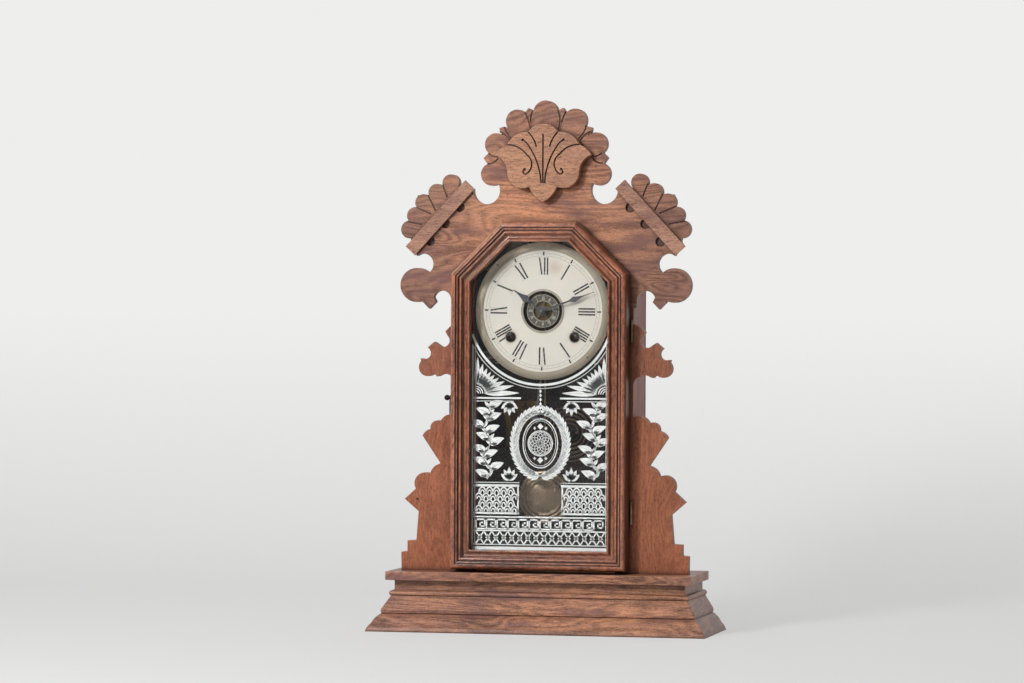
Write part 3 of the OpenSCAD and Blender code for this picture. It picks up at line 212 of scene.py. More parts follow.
class Finish:
    """Node tree of one material, with short calls that add and link its nodes."""

    def __init__(self, name):
        self.material = bpy.data.materials.new(name)
        self.material.use_nodes = True
        self.tree = self.material.node_tree
        self.shader = self.tree.nodes["Principled BSDF"]
        self.output = self.tree.nodes["Material Output"]
        coordinates = self.tree.nodes.new("ShaderNodeTexCoord")
        self.place = coordinates.outputs["Object"]
        self.facing = coordinates.outputs["Normal"]

    def feed(self, socket, value):
        """Links a socket into another, or sets its value."""
        if isinstance(value, bpy.types.NodeSocket):
            self.tree.links.new(value, socket)
        else:
            socket.default_value = value

    def add(self, kind, inputs=None, **settings):
        """A new node with its settings and its inputs."""
        node = self.tree.nodes.new("ShaderNode" + kind)
        for key, value in settings.items():
            setattr(node, key, value)
        for key, value in (inputs or {}).items():
            self.feed(node.inputs[key], value)
        return node

    def mapped(self, vector, scale=(1, 1, 1), turn=(0, 0, 0), shift=(0, 0, 0)):
        """A place scaled, turned and shifted."""
        node = self.add("Mapping", {"Vector": vector, "Scale": scale, "Rotation": turn, "Location": shift})
        return node.outputs["Vector"]

    def noise(self, vector, scale, detail=2.0, rough=0.5, warp=0.0):
        """Noise from 0 to 1, with features 1/scale metres long on each axis."""
        inputs = {
            "Vector": self.mapped(vector, scale=scale), "Scale": 1.0, "Detail": detail, "Roughness": rough,
            "Distortion": warp,
        }
        return self.add("TexNoise", inputs).outputs["Fac"]

    def calc(self, operation, a, b=0.0, c=0.0):
        """One sum on numbers."""
        return self.add("Math", {0: a, 1: b, 2: c}, operation=operation).outputs[0]

    def vectors(self, operation, a, b=(0, 0, 0), output="Value"):
        """One sum on vectors."""
        return self.add("VectorMath", {0: a, 1: Vector(b)}, operation=operation).outputs[output]

    def levels(self, value, low, high, to_low=0.0, to_high=1.0):
        """value from low to high, mapped to to_low to to_high and held there."""
        inputs = {"Value": value, "From Min": low, "From Max": high, "To Min": to_low, "To Max": to_high}
        return self.add("MapRange", inputs, clamp=True).outputs["Result"]

    def blend(self, share, a, b, mode="MIX"):
        """Colour a, and b on top of it by its share."""
        node = self.add("Mix", data_type="RGBA", blend_type=mode)
        for index, value in ((0, share), (6, a), (7, b)):
            if isinstance(value, tuple):
                value = (*value, 1.0)
            self.feed(node.inputs[index], value)
        return node.outputs[2]

    def ramp(self, value, *stops):
        """Colours by value; each stop is a place and a colour."""
        node = self.add("ValToRGB", {"Fac": value})
        elements = node.color_ramp.elements
        while len(elements) < len(stops):
            elements.new(0.5)
        for element, (place, stop_colour) in zip(elements, stops):
            element.position = place
            element.color = (*stop_colour, 1.0)
        return node.outputs["Color"]

    def soft_edges(self, radius):
        """Normal with rounded edges, and how far it leans there."""
        bevel = self.add("Bevel", {"Radius": radius}, samples=6)
        face = self.add("NewGeometry")
        inputs = {0: bevel.outputs["Normal"], 1: face.outputs["Normal"]}
        facing = self.add("VectorMath", inputs, operation="DOT_PRODUCT").outputs["Value"]
        return bevel.outputs["Normal"], self.calc("SUBTRACT", 1.0, facing)

    def shelter(self, reach):
        """1 in the open, towards 0 in grooves and corners."""
        return self.add("AmbientOcclusion", {"Distance": reach}, samples=6).outputs["AO"]

    def bump(self, height, depth, strength=1.0, normal=None):
        """Normal of a surface with a height on it."""
        inputs = {"Height": height, "Distance": depth, "Strength": strength}
        if normal is not None:
            inputs["Normal"] = normal
        return self.add("Bump", inputs).outputs["Normal"]

    def mixed(self, share, a, b):
        """Shader a, and b by its share."""
        return self.add("MixShader", {0: share, 1: a, 2: b}).outputs[0]

    def show(self, shader):
        """Puts a shader on the surface in place of the plain one."""
        self.tree.links.new(shader, self.output.inputs["Surface"])

    def surface(self, **inputs):
        """Feeds the shader's sockets: keys are their names with _ for spaces."""
        for key, value in inputs.items():
            if isinstance(value, tuple) and len(value) == 3:
                value = (*value, 1.0)
            self.feed(self.shader.inputs[key.replace("_", " ")], value)
        return self.material


def wood(name, middle_tone, grain, shift, settings, contrast=0.5, figure=1.0, grit=1.0, cool=0.4, wear=0.6,
         rough=0.5, coat=0.1, fleck=0.0, reach=8.0, gloss_rough=0.34, distance_tint=None, shaded=None, bright=None,
         edge=0.8):
    """Varnished wood with growth figure, streaks and pores, painted shade in its grooves, and worn edges
    that also stand for painted highlights.

    reach and edge are in millimetres. The tint by distance is a place, the distances from it at which a tint
    starts and is full, and the tint. The painted shade darkens the faces that look one way and is a
    direction, a depth and the shade's colour; bright is a painted highlight on the faces that look one way,
    and is a direction and a depth.
    """
    dark = tinted(middle_tone, 1 - contrast, DARK_FIGURE)
    light = tinted(middle_tone, 1 + 0.8 * contrast, LIGHT_FIGURE)
    f = Finish(name)
    board = f.mapped(f.place, turn=grain, shift=shift)
    drift = f.noise(board, (5, 20, 20), detail=2.0, rough=0.5, warp=0.6)
    rings = f.calc("SINE", f.calc("MULTIPLY", drift, 110.0))
    streaks = f.noise(board, (24, 190, 190), detail=4.0, rough=0.66, warp=0.3)
    dashes = f.noise(board, (110, 800, 800), detail=2.0, rough=0.7)
    patches = f.noise(board, (9, 22, 22), detail=2.0)
    speckle = f.noise(board, (620, 900, 900), detail=1.0)
    flecks = f.noise(board, (150, 330, 330), detail=2.0, rough=0.6)

    parts = [
        (rings, 0.11 * figure), (streaks, 0.62), (dashes, 0.75), (patches, 0.75), (speckle, 0.5 * grit),
        (flecks, fleck),
    ]
    tone = 0.5 - sum(share for _, share in parts[1:]) / 2
    for part, share in parts:
        tone = f.calc("MULTIPLY_ADD", part, share, tone)
    base = f.ramp(tone, (0.20, dark), (0.5, tuple(middle_tone)), (0.80, light))

    if distance_tint:
        place, near, far, tint = distance_tint
        ragged = 0.06
        gap = f.calc("MULTIPLY_ADD", patches, ragged, f.vectors("DISTANCE", f.place, place))
        tinting = f.levels(gap, near + ragged / 2, far + ragged / 2)
        base = f.blend(tinting, base, f.blend(1.0, base, tint, "MULTIPLY"))
    faded = f.levels(f.noise(board, (14, 60, 60), detail=3.0, rough=0.6), 0.48, 0.66, 0.0, cool)
    base = f.blend(faded, base, tuple(settings.cool))
    pores = f.levels(f.noise(board, (200, 1300, 1300), detail=1.0), 0.58, 0.68, 0.0, 0.7 * grit)
    base = f.blend(pores, base, tinted(middle_tone, 1.0, PORES))

    normal, lean = f.soft_edges(edge * MM)
    # Pale worn edges, which also stand for painted highlights along the edges
    rub = f.levels(f.noise(f.place, (70, 70, 70), 4.0, 0.65), 0.36, 0.60)
    wear_and_painted_light = f.calc("MULTIPLY", f.levels(lean, 0.02, 0.20), rub)
    base = f.blend(f.calc("MULTIPLY", wear_and_painted_light, wear), base, tuple(settings.worn))
    # Painted highlight: faces turned the given way are blended towards the pale edge colour
    if bright:
        way, depth = bright
        turned = f.vectors("DOT_PRODUCT", f.facing, way)
        base = f.blend(f.levels(turned, 0.86, 0.95, 0.0, depth), base, tuple(settings.worn))
    # Painted shade: faces turned the given way are darkened towards the shade's colour and lose their coat
    if shaded:
        way, depth, shade_colour = shaded
        turned = f.vectors("DOT_PRODUCT", f.facing, way)
        base = f.blend(f.levels(turned, 0.25, 0.85, 0.0, depth), base, tuple(shade_colour))
        coat = f.levels(turned, 0.25, 0.85, coat, 0.0)
    # Painted shade: darker in grooves and corners, where the ambient occlusion finds little open space
    painted_groove_shade = f.levels(f.shelter(reach * MM), 0.35, 0.90, 0.95, 0.0)
    base = f.blend(painted_groove_shade, base, tuple(settings.painted_shade))

    height = f.calc("MULTIPLY_ADD", dashes, 0.7, f.calc("MULTIPLY", pores, -1.0))
    pore_depth = 0.12 * MM
    polish = f.bump(height, pore_depth, 0.15, normal)
    normal = f.bump(height, pore_depth, 0.5, normal)
    gloss = f.levels(streaks, 0.3, 0.7, rough - 0.07, rough + 0.09)
    return f.surface(
        Base_Color=base, Roughness=gloss, Normal=normal, Coat_Weight=coat, Coat_Roughness=gloss_rough,
        Coat_Normal=polish, Coat_IOR=1.6, Specular_IOR_Level=0.35,
    )


def metal(name, base, film, rough=0.36, metallic=1.0, grain=260.0, cover=0.5, edge=0.3, spread=None):
    """Metal with a patchy film and fine wear; edge is in millimetres, spread changes its colour by place."""
    f = Finish(name)
    patches = f.noise(f.place, (60, 60, 60), detail=4.0, rough=0.62, warp=0.4)
    fine = f.noise(f.place, (grain, grain, grain), detail=3.0, rough=0.6)
    covered = f.levels(f.calc("MULTIPLY_ADD", fine, 0.5, patches), 0.62, 0.98, 0.0, cover + 0.25)
    base = tuple(base)
    if spread:
        base = spread(f, base)
    shade = f.blend(covered, base, tuple(film))
    normal, lean = f.soft_edges(edge * MM)
    normal = f.bump(fine, 0.05 * MM, 0.35, normal)
    gloss = f.levels(covered, 0.0, 0.8, rough, rough + 0.22)
    return f.surface(Base_Color=shade, Roughness=gloss, Metallic=metallic, Normal=normal)


def ring_painted_light(f, base):
    """Brass of the dial's ring with painted light and shade: much paler on the outer upper left, where the
    door's shadow falls, and darker elsewhere and by the paper.
    """
    upper_left = (-0.71, 0, 0.71)
    offset = f.vectors("SUBTRACT", f.place, DIAL_MIDDLE, output="Vector")
    along = f.vectors("DOT_PRODUCT", offset, upper_left)
    outer = f.levels(f.vectors("LENGTH", offset), 69.5 * MM, 73.0 * MM)
    wear_and_painted_light = f.blend(outer, tinted(base, 0.9), tinted(base, 2.3))
    painted_shade_tone = f.blend(outer, tinted(base, 0.66), tinted(base, 0.55))
    return f.blend(f.levels(along, 22 * MM, 50 * MM), painted_shade_tone, wear_and_painted_light)


def dial_paper_finish(settings):
    """Cream paper with faint blotches, and brown stains round the winding holes and by the twelve."""
    f = Finish("dial_paper_finish")
    blotch = f.noise(f.place, (45, 45, 45), detail=4.0, rough=0.6)
    shade = f.blend(f.levels(blotch, 0.45, 0.75, 0.0, 0.28), tuple(settings.paper), srgb(216, 205, 186))
    ragged = f.noise(f.place, (160, 160, 160), detail=3.0, rough=0.65)
    # Place from the dial's middle, reach and depth
    stains = [(WIND_X, WIND_Z, 0.0104, 0.62), (-WIND_X, WIND_Z, 0.0104, 0.62), (0.0134, 0.0476, 0.0105, 0.7)]
    for x, z, reach, depth in stains:
        place = (DIAL_MIDDLE.x + x, PAPER_FRONT, DIAL_MIDDLE.z + z)
        gap = f.calc("MULTIPLY_ADD", ragged, reach * 0.7, f.vectors("DISTANCE", f.place, place))
        shade = f.blend(f.levels(gap, reach * 0.55, reach * 1.35, depth, 0.0), shade, tuple(settings.stain))
    specks = f.levels(f.noise(f.place, (900, 900, 900), detail=1.0), 0.72, 0.80, 0.0, 0.35)
    shade = f.blend(specks, shade, srgb(150, 128, 104))
    normal = f.bump(f.noise(f.place, (700, 700, 700), detail=2.0), 0.03 * MM, 0.3)
    return f.surface(Base_Color=shade, Roughness=0.82, Normal=normal, Specular_IOR_Level=0.3)


def ink_and_shade_finish(name, shade, worn=0.35):
    """Printed ink that has thinned in places; also the flat dark disc of painted shade in the nail hole."""
    f = Finish(name)
    thin = f.levels(f.noise(f.place, (420, 420, 420), detail=3.0), 0.50, 0.78, 0.0, worn)
    return f.surface(Base_Color=f.blend(thin, tuple(shade), srgb(206, 198, 184)), Roughness=0.7)


def glass_finish():
    """Old window glass that lets light through without a dark shadow."""
    f = Finish("door_glass_finish")
    waves = f.noise(f.place, (14, 14, 14), detail=1.0)
    f.surface(
        Base_Color=(0.95, 0.975, 0.965), Roughness=0.02, IOR=GLASS_INDEX, Transmission_Weight=1.0,
        Normal=f.bump(waves, 0.25 * MM, 0.2),
    )
    clear = f.add("BsdfTransparent").outputs[0]
    shadow = f.add("LightPath").outputs["Is Shadow Ray"]
    f.show(f.mixed(shadow, f.shader.outputs[0], clear))
    return f.material


def silver_print_finish(settings):
    """Greyish white paint, thinner in places."""
    f = Finish("glass_print_finish")
    thin = f.noise(f.place, (130, 130, 130), detail=4.0, rough=0.65)
    shade = f.blend(f.levels(thin, 0.42, 0.72, 0.0, 0.55), tuple(settings.silver), srgb(200, 202, 202))
    return f.surface(Base_Color=shade, Roughness=0.6)


def paint(material, *nodes):
    """Gives CAD nodes a material."""
    for node in nodes:
        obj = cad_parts[node]
        if not obj.material_slots:
            obj.data.materials.append(material)
        for slot in obj.material_slots:
            slot.material = material


# ---- Thin printed shapes ----

class Plates:
    """Thin closed plates square to Y, gathered into one mesh. Points are x, z pairs in metres."""

    def __init__(self, front, thick, middle_x=0.0):
        self.front = front
        self.back = front + thick
        self.middle_x = middle_x
        self.verts = []
        self.faces = []

    def polygon(self, points):
        """Plate with this outline."""
        area = sum(a[0] * b[1] - b[0] * a[1] for a, b in zip(points, points[1:] + points[:1]))
        if area < 0:
            points = points[::-1]
        first, count = len(self.verts), len(points)
        self.verts += [(x, self.front, z) for x, z in points]
        self.verts += [(x, self.back, z) for x, z in points]
        self.faces.append(tuple(range(first, first + count)))
        self.faces.append(tuple(range(first + 2 * count - 1, first + count - 1, -1)))
        for i in range(count):
            j = (i + 1) % count
            self.faces.append((first + j, first + i, first + count + i, first + count + j))

    def ring(self, outer, inner):
        """Flat ring between two loops that run the same way round, counterclockwise."""
        first, count = len(self.verts), len(outer)
        for y in (self.front, self.back):
            self.verts += [(x, y, z) for x, z in outer]
            self.verts += [(x, y, z) for x, z in inner]
        for i in range(count):
            j = (i + 1) % count
            outer_here, inner_here = first + i, first + count + i
            outer_next, inner_next = first + j, first + count + j
            deep = 2 * count
            self.faces += [
                (outer_here, outer_next, inner_next, inner_here),
                (inner_here + deep, inner_next + deep, outer_next + deep, outer_here + deep),
                (outer_next, outer_here, outer_here + deep, outer_next + deep),
                (inner_here, inner_next, inner_next + deep, inner_here + deep),
            ]

    def piece(self, name, material, body):
        """Makes the plates one object that rides on a body."""
        mesh = bpy.data.meshes.new(name)
        mesh.from_pydata([(x + self.middle_x, y, z) for x, y, z in self.verts], [], self.faces)
        mesh.update()
        mesh.materials.append(material)
        obj = bpy.data.objects.new(name, mesh)
        bpy.context.scene.collection.objects.link(obj)
        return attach(obj, body)


def arc_points(middle_xz, radius_x, radius_z, start, end, steps):
    """Points on an ellipse from one angle to another, in degrees counterclockwise from +X."""
    angles = [math.radians(start + (end - start) * i / steps) for i in range(steps + 1)]
    return [(middle_xz[0] + radius_x * math.cos(a), middle_xz[1] + radius_z * math.sin(a)) for a in angles]


def ribbon(path, width):
    """Outline of a strip of even width along a path."""
    left, right = [], []
    for i, (x, z) in enumerate(path):
        ax, az = path[max(0, i - 1)]
        bx, bz = path[min(len(path) - 1, i + 1)]
        size = math.hypot(bx - ax, bz - az)
        nx, nz = -(bz - az) / size * width / 2, (bx - ax) / size * width / 2
        left.append((x + nx, z + nz))
        right.append((x - nx, z - nz))
    return left + right[::-1]


def circle_ring(plates, middle_xz, radius_x, radius_z, width, steps=48):
    """Closed line along an ellipse."""
    outer = arc_points(middle_xz, radius_x + width / 2, radius_z + width / 2, 0, 360, steps)[:-1]
    inner = arc_points(middle_xz, radius_x - width / 2, radius_z - width / 2, 0, 360, steps)[:-1]
    plates.ring(outer, inner)


def leaf(plates, foot, angle, size, width, gap, lean=0.0):
    """Pointed leaf in two halves with a bare midrib; lean bends its tip to one side."""
    steps = 7
    shares = [i / steps for i in range(steps + 1)]
    ux, uz = math.cos(angle), math.sin(angle)

    def at(along, across):
        across += lean * size * (along / size) ** 2
        return foot[0] + ux * along - uz * across, foot[1] + uz * along + ux * across

    for side in (-1, 1):
        spread = [gap / 2 + (width / 2) * math.sin(math.pi * t ** 0.75) for t in shares]
        outer = [at(size * t, side * across) for t, across in zip(shares, spread)]
        inner = [at(size * t, side * gap / 2 * (1 - t)) for t in reversed(shares[1:-1])]
        plates.polygon(outer + inner)


def mirrored(points):
    return [(-x, z) for x, z in points]


# ---- Pieces ----

class ClockOperator(bpy.types.Operator):
    """Common ground of the clock's operators"""

    bl_options = {"REGISTER", "UNDO"}


class CLOCK_OT_base(ClockOperator):
    """Finish the base's mouldings, top board and back rail"""

    bl_idname = "clock.base"
    bl_label = "Base"

    def execute(self, context):
        s = context.scene.clock_wood
        runs = {
            "base_front_moulding": (GRAIN_ACROSS, (0.31, 0.2, 0.5), 0.78),
            "base_left_moulding": (GRAIN_DEEP, (0.5, 0.1, 0.3), 0.78),
            "base_right_moulding": (GRAIN_DEEP, (0.9, 0.4, 0.6), 0.5),
            "base_top_board": (GRAIN_ACROSS, (0.7, 0.8, 0.2), 0.76),
        }
        # Darker towards the base's ends
        ends = ((0.04, BOARD_FRONT, 0.04), 0.09, 0.24, (0.74, 0.76, 0.92))
        for node, (grain, shift, contrast) in runs.items():
            # Painted shade on the faces turned down
            finish = wood(
                "walnut_" + node, s.base, grain, shift, s, contrast=contrast, cool=0.7, wear=1.0, coat=0.3,
                reach=11.0, distance_tint=ends, shaded=((0, 0, -1), 0.9, s.painted_shade), edge=1.2,
            )
            paint(finish, node)
        rail = wood(
            "rail_wood", s.lining, GRAIN_ACROSS, (0.2, 0.9, 0.1), s, contrast=0.4, cool=0.1, rough=0.66,
            coat=0.0,
        )
        paint(rail, "base_back_rail")
        return {"FINISHED"}


class CLOCK_OT_case(ClockOperator):
    """Finish the case behind the boards"""

    bl_idname = "clock.case"
    bl_label = "Case"

    def execute(self, context):
        s = context.scene.clock_wood
        plain = {
            "contrast": 0.16, "figure": 0.3, "grit": 0.3, "cool": 0.3, "wear": 0.3, "rough": 0.6,
            "coat": 0.0,
        }
        upright = wood("case_upright_wood", s.case, GRAIN_UPRIGHT, (0.4, 0.3, 0.2), s, **plain)
        paint(upright, "case_side_left", "case_side_right")
        paint(wood("case_across_wood", s.case, GRAIN_ACROSS, (0.1, 0.6, 0.9), s, **plain), "case_top_board")
        # Painted shade: the back board's faces turned to the front, into the case, are made nearly black
        lining = wood(
            "lining_wood", s.lining, GRAIN_UPRIGHT, (0.8, 0.5, 0.4), s, contrast=0.45, cool=0.1, wear=0.3,
            rough=0.7, coat=0.0, shaded=((0, -1, 0), 0.96, srgb(26, 17, 15)),
        )
        paint(lining, "back_board")
        # Painted shade: the blocks below the dial's middle are darkened for the dark of the case they stand
        # in
        below = ((DIAL_MIDDLE.x, BOARD_FRONT, DIAL_MIDDLE.z + 0.2), 0.19, 0.21, (0.04, 0.025, 0.02))
        block = wood(
            "block_wood", s.block, GRAIN_ACROSS, (0.3, 0.1, 0.7), s, contrast=0.2, wear=0.1, rough=0.7,
            coat=0.0, distance_tint=below,
        )
        paint(block, "case_blocks")
        return {"FINISHED"}


class CLOCK_OT_boards(ClockOperator):
    """Finish the fretted boards, the crest's carving and the bars of the ears"""

    bl_idname = "clock.boards"
    bl_label = "Fretted boards"

    def execute(self, context):
        s = context.scene.clock_wood
        boards = {
            "front_top_panel": (s.panel, GRAIN_ACROSS, (0.15, 0.35, 0.02), 0.50, 1.5, 0.9, 0.7),
            "side_board_left": (s.wing, GRAIN_UPRIGHT, (0.6, 0.2, 0.7), 0.48, 0.6, 1.0, 0.15),
            "side_board_right": (s.wing, GRAIN_UPRIGHT, (0.2, 0.6, 0.3), 0.44, 0.7, 1.0, 0.1),
            "crest_ornament": (s.carving, GRAIN_ACROSS, (0.4, 0.7, 0.9), 0.34, 0.3, 1.3, 0.3),
            "ear_bars": (s.bar, GRAIN_ACROSS, (0.9, 0.1, 0.2), 0.40, 0.3, 1.3, 0.45),
        }
        # Darker away from the middle of the top board, and up the side boards
        crown = ((0.0, BOARD_FRONT, 0.452), 0.04, 0.15, (0.50, 0.54, 0.68))
        foot = ((0.0, BOARD_FRONT, 0.10), 0.16, 0.27, (0.72, 0.78, 0.92))
        distance_tints = {"front_top_panel": crown, "side_board_left": foot, "side_board_right": foot}
        for node, (tone, grain, shift, contrast, figure, grit, cool) in boards.items():
            finish = wood(
                "walnut_" + node, tone, grain, shift, s, contrast=contrast, figure=figure, grit=grit,
                cool=cool, wear=1.0, distance_tint=distance_tints.get(node),
            )
            paint(finish, node)
        # Painted shade: a flat dark disc stands in for the inside of the nail hole
        hole = Plates(BOARD_FRONT - 0.02 * MM, 0.03 * MM)
        hole.polygon(arc_points(NAIL_HOLE, NAIL_HOLE_RADIUS, NAIL_HOLE_RADIUS, 0, 360, 20)[:-1])
        hole.piece("nail_hole", ink_and_shade_finish("nail_hole_dark", srgb(28, 18, 14), 0.0), "case")
        return {"FINISHED"}


class CLOCK_OT_door_frame(ClockOperator):
    """Finish the door's mitred mouldings"""

    bl_idname = "clock.door_frame"
    bl_label = "Door frame"

    def execute(self, context):
        s = context.scene.clock_wood
        runs = {
            "door_bottom_rail": (GRAIN_ACROSS, (0.11, 0.52, 0.83)),
            "door_top_rail": (GRAIN_ACROSS, (0.41, 0.22, 0.13)),
            "door_left_stile": (GRAIN_UPRIGHT, (0.71, 0.62, 0.33)),
            "door_right_stile": (GRAIN_UPRIGHT, (0.21, 0.82, 0.63)),
            "door_left_diagonal": (GRAIN_RISING, (0.31, 0.42, 0.53)),
            "door_right_diagonal": (GRAIN_FALLING, (0.61, 0.12, 0.93)),
        }
        # Painted highlight on the left diagonal's faces turned up and left, towards the lamp
        wear_and_painted_light = {"door_left_diagonal": ((-0.6, -0.53, 0.6), 0.75)}
        for node, (grain, shift) in runs.items():
            # Painted shade on the faces turned to the right, away from the lamp
            finish = wood(
                "walnut_" + node, s.door, grain, shift, s, contrast=0.66, figure=0.8, cool=0.15, wear=0.55,
                rough=0.36, coat=1.0, fleck=1.0, reach=5.0, gloss_rough=0.15,
                shaded=((1, 0, 0), 0.8, s.painted_shade), bright=wear_and_painted_light.get(node), edge=0.6,
            )
            paint(finish, node)
        return {"FINISHED"}


class CLOCK_OT_hardware(ClockOperator):
    """Finish hinges, latch and screws"""

    bl_idname = "clock.hardware"
    bl_label = "Hinges and latch"

    def execute(self, context):
        s = context.scene.clock_metal
        hinge = metal("hinge_brass", s.brass, srgb(74, 58, 40), rough=0.32, cover=0.75)
        dark = metal("latch_steel", srgb(58, 50, 46), srgb(30, 26, 24), rough=0.4)
        paint(hinge, "case_hinge_leaves", "door_hinge_leaves")
        paint(dark, "door_latch")
        paint(metal("screw_steel", s.steel, srgb(70, 62, 54)), "case_screws")
        return {"FINISHED"}


# Numerals clockwise from twelve, and the widths of their letters in millimetres on the dial and the disc
NUMERALS = ["XII", "I", "II", "III", "IIII", "V", "VI", "VII", "VIII", "IX", "X", "XI"]
LETTER_WIDTHS = {"I": 3.2, "V": 5.4, "X": 5.8}
DISC_LETTER_WIDTHS = {"I": 0.85, "V": 1.5, "X": 1.6}
# Inner end, outer end and width of the hours' marks
HOUR_MARK = (0.0615, 0.0657, 1.7 * MM)


class CLOCK_OT_dial(ClockOperator):
    """Finish the dial and print its numerals and minute track"""

    bl_idname = "clock.dial"
    bl_label = "Dial"

    def execute(self, context):
        d = context.scene.clock_dial
        m = context.scene.clock_metal
        # The ring's colour carries painted light on its outer upper left and painted shade elsewhere
        ring = metal(
            "dial_ring_brass", m.pan, m.pan_dark, rough=0.5, metallic=0.15, grain=160.0, cover=0.15,
            spread=ring_painted_light,
        )
        paint(ring, "dial_pan", "dial_bezel")
        grommet = metal("grommet_brass", srgb(150, 142, 128), m.pan_dark, rough=0.4, metallic=0.3)
        paint(grommet, "dial_grommets")
        paint(dial_paper_finish(d), "dial_paper")

        ink = Plates(PAPER_FRONT - 0.03 * MM, 0.03 * MM)
        faint = Plates(PAPER_FRONT - 0.02 * MM, 0.02 * MM)
        mark_foot, mark_top, mark_width = HOUR_MARK
        for hour, numeral in enumerate(NUMERALS):
            self.numeral(ink, faint, d, hour * 30, numeral)
            self.stroke(ink, hour * 30, (0, mark_foot), (0, mark_top), mark_width)
        at = (DIAL_MIDDLE.x, DIAL_MIDDLE.z)
        for radius in (d.track_inner, d.track_outer):
            circle_ring(faint, at, radius, radius, 0.36 * MM, steps=180)
        between = (d.track_inner + d.track_outer) / 2
        dot = 0.5 * MM
        for minute in range(60):
            if minute % 5:
                self.stroke(faint, minute * 6, (0, between - dot), (0, between + dot), dot)
        ink.piece("dial_numerals", ink_and_shade_finish("dial_ink", d.ink), "case")
        faint.piece("dial_minute_track", ink_and_shade_finish("dial_worn_ink", d.faint_ink, 0.6), "case")
        return {"FINISHED"}

    @staticmethod
    def stroke(plates, degrees, foot, top, width):
        """Bar between two points given as sideways offset and radius, turned clockwise from twelve."""
        a = math.radians(degrees) + bpy.context.scene.clock_dial.turn
        out, side = (math.sin(a), math.cos(a)), (math.cos(a), -math.sin(a))
        ends = []
        for across, radius in (foot, top):
            for half in (-width / 2, width / 2):
                u = across + half
                x = DIAL_MIDDLE.x + u * side[0] + radius * out[0]
                z = DIAL_MIDDLE.z + u * side[1] + radius * out[1]
                ends.append((x, z))
        plates.polygon([ends[0], ends[1], ends[3], ends[2]])

    def numeral(self, ink, faint, d, turn, numeral):
        """Roman numeral with thick strokes, and its worn hairlines and serifs."""
        foot, top, w = d.numeral_foot, d.numeral_top, d.stroke
        hair, serif, serif_inset = 0.24 * MM, 2.7 * MM, 0.12 * MM
        # How far the strokes lean, in widths of their letter
        v_lean, x_thick, x_thin, x_serif = 0.36, 0.27, 0.32, 0.29
        narrow = 0.86 if len(numeral) > 3 else 1.0
        widths = [LETTER_WIDTHS[c] * narrow * MM for c in numeral]
        left = -sum(widths) / 2
        for letter, width in zip(numeral, widths):
            mid = left + width / 2
            if letter == "I":
                self.stroke(ink, turn, (mid, foot), (mid, top), w)
                spans = [(mid, foot), (mid, top)]
            elif letter == "V":
                lean = width * v_lean
                self.stroke(ink, turn, (mid, foot), (mid - lean, top), w)
                self.stroke(faint, turn, (mid + 0.5 * MM, foot), (mid + lean, top), hair)
                spans = [(mid - lean, top), (mid + lean, top)]
            else:
                thick, thin = width * x_thick, width * x_thin
                self.stroke(ink, turn, (mid + thick, foot), (mid - thick, top), w)
                self.stroke(faint, turn, (mid - thin, foot), (mid + thin, top), hair)
                spans = [(mid + side * width * x_serif, r) for side in (-1, 1) for r in (foot, top)]
            for place, radius in spans:
                inward = serif_inset if radius == foot else -serif_inset
                ends = (place, radius + inward - hair / 2), (place, radius + inward + hair / 2)
                self.stroke(faint, turn, ends[0], ends[1], serif * narrow)
            left += width


class CLOCK_OT_hands(ClockOperator):
    """Finish hands, their arbor and the alarm disc with its numbers"""

    bl_idname = "clock.hands"
    bl_label = "Hands and alarm disc"

    def execute(self, context):
        m = context.scene.clock_metal
        hands = metal("hand_steel", m.blued, srgb(92, 86, 80), rough=0.38, metallic=0.8, cover=0.2)
        paint(hands, "minute_hand", "hour_hand")
        paint(metal("arbor_steel", m.steel, srgb(74, 66, 58), rough=0.34), "centre_arbor")
        disc = metal("disc_metal", m.disc, srgb(88, 82, 72), rough=0.46, metallic=0.6, cover=0.4)
        paint(disc, "alarm_disc")

        stamped = Plates(DISC_FRONT - 0.04 * MM, 0.05 * MM)
        at = (DIAL_MIDDLE.x, DIAL_MIDDLE.z)
        for radius in (11.4 * MM, 18.0 * MM):
            circle_ring(stamped, at, radius, radius, 0.28 * MM, steps=72)
        mark_foot, mark_top, marks = 16.6 * MM, 17.7 * MM, 24
        for i in range(marks):
            CLOCK_OT_dial.stroke(stamped, i * 360 / marks, (0, mark_foot), (0, mark_top), 0.3 * MM)
        # The alarm's numbers run anticlockwise
        for i in range(12):
            self.figure(stamped, i * 30, NUMERALS[-i])
        figures = ink_and_shade_finish("disc_figures", srgb(178, 172, 156), 0.3)
        stamped.piece("alarm_disc_figures", figures, "alarm_dial")
        return {"FINISHED"}

    @staticmethod
    def figure(plates, turn, figure):
        """Small Roman numeral of even strokes."""
        foot, top, w, slant = 12.2 * MM, 16.0 * MM, 0.3 * MM, 0.62
        left = -sum(DISC_LETTER_WIDTHS[c] for c in figure) / 2 * MM
        for letter in figure:
            half = DISC_LETTER_WIDTHS[letter] / 2 * MM
            mid = left + half
            lean = half * slant
            if letter == "V":
                CLOCK_OT_dial.stroke(plates, turn, (mid, foot), (mid - lean, top), w)
                CLOCK_OT_dial.stroke(plates, turn, (mid, foot), (mid + lean, top), w)
            elif letter == "X":
                CLOCK_OT_dial.stroke(plates, turn, (mid + lean, foot), (mid - lean, top), w)
                CLOCK_OT_dial.stroke(plates, turn, (mid - lean, foot), (mid + lean, top), w)
            else:
                CLOCK_OT_dial.stroke(plates, turn, (mid, foot), (mid, top), w)
            left += 2 * half


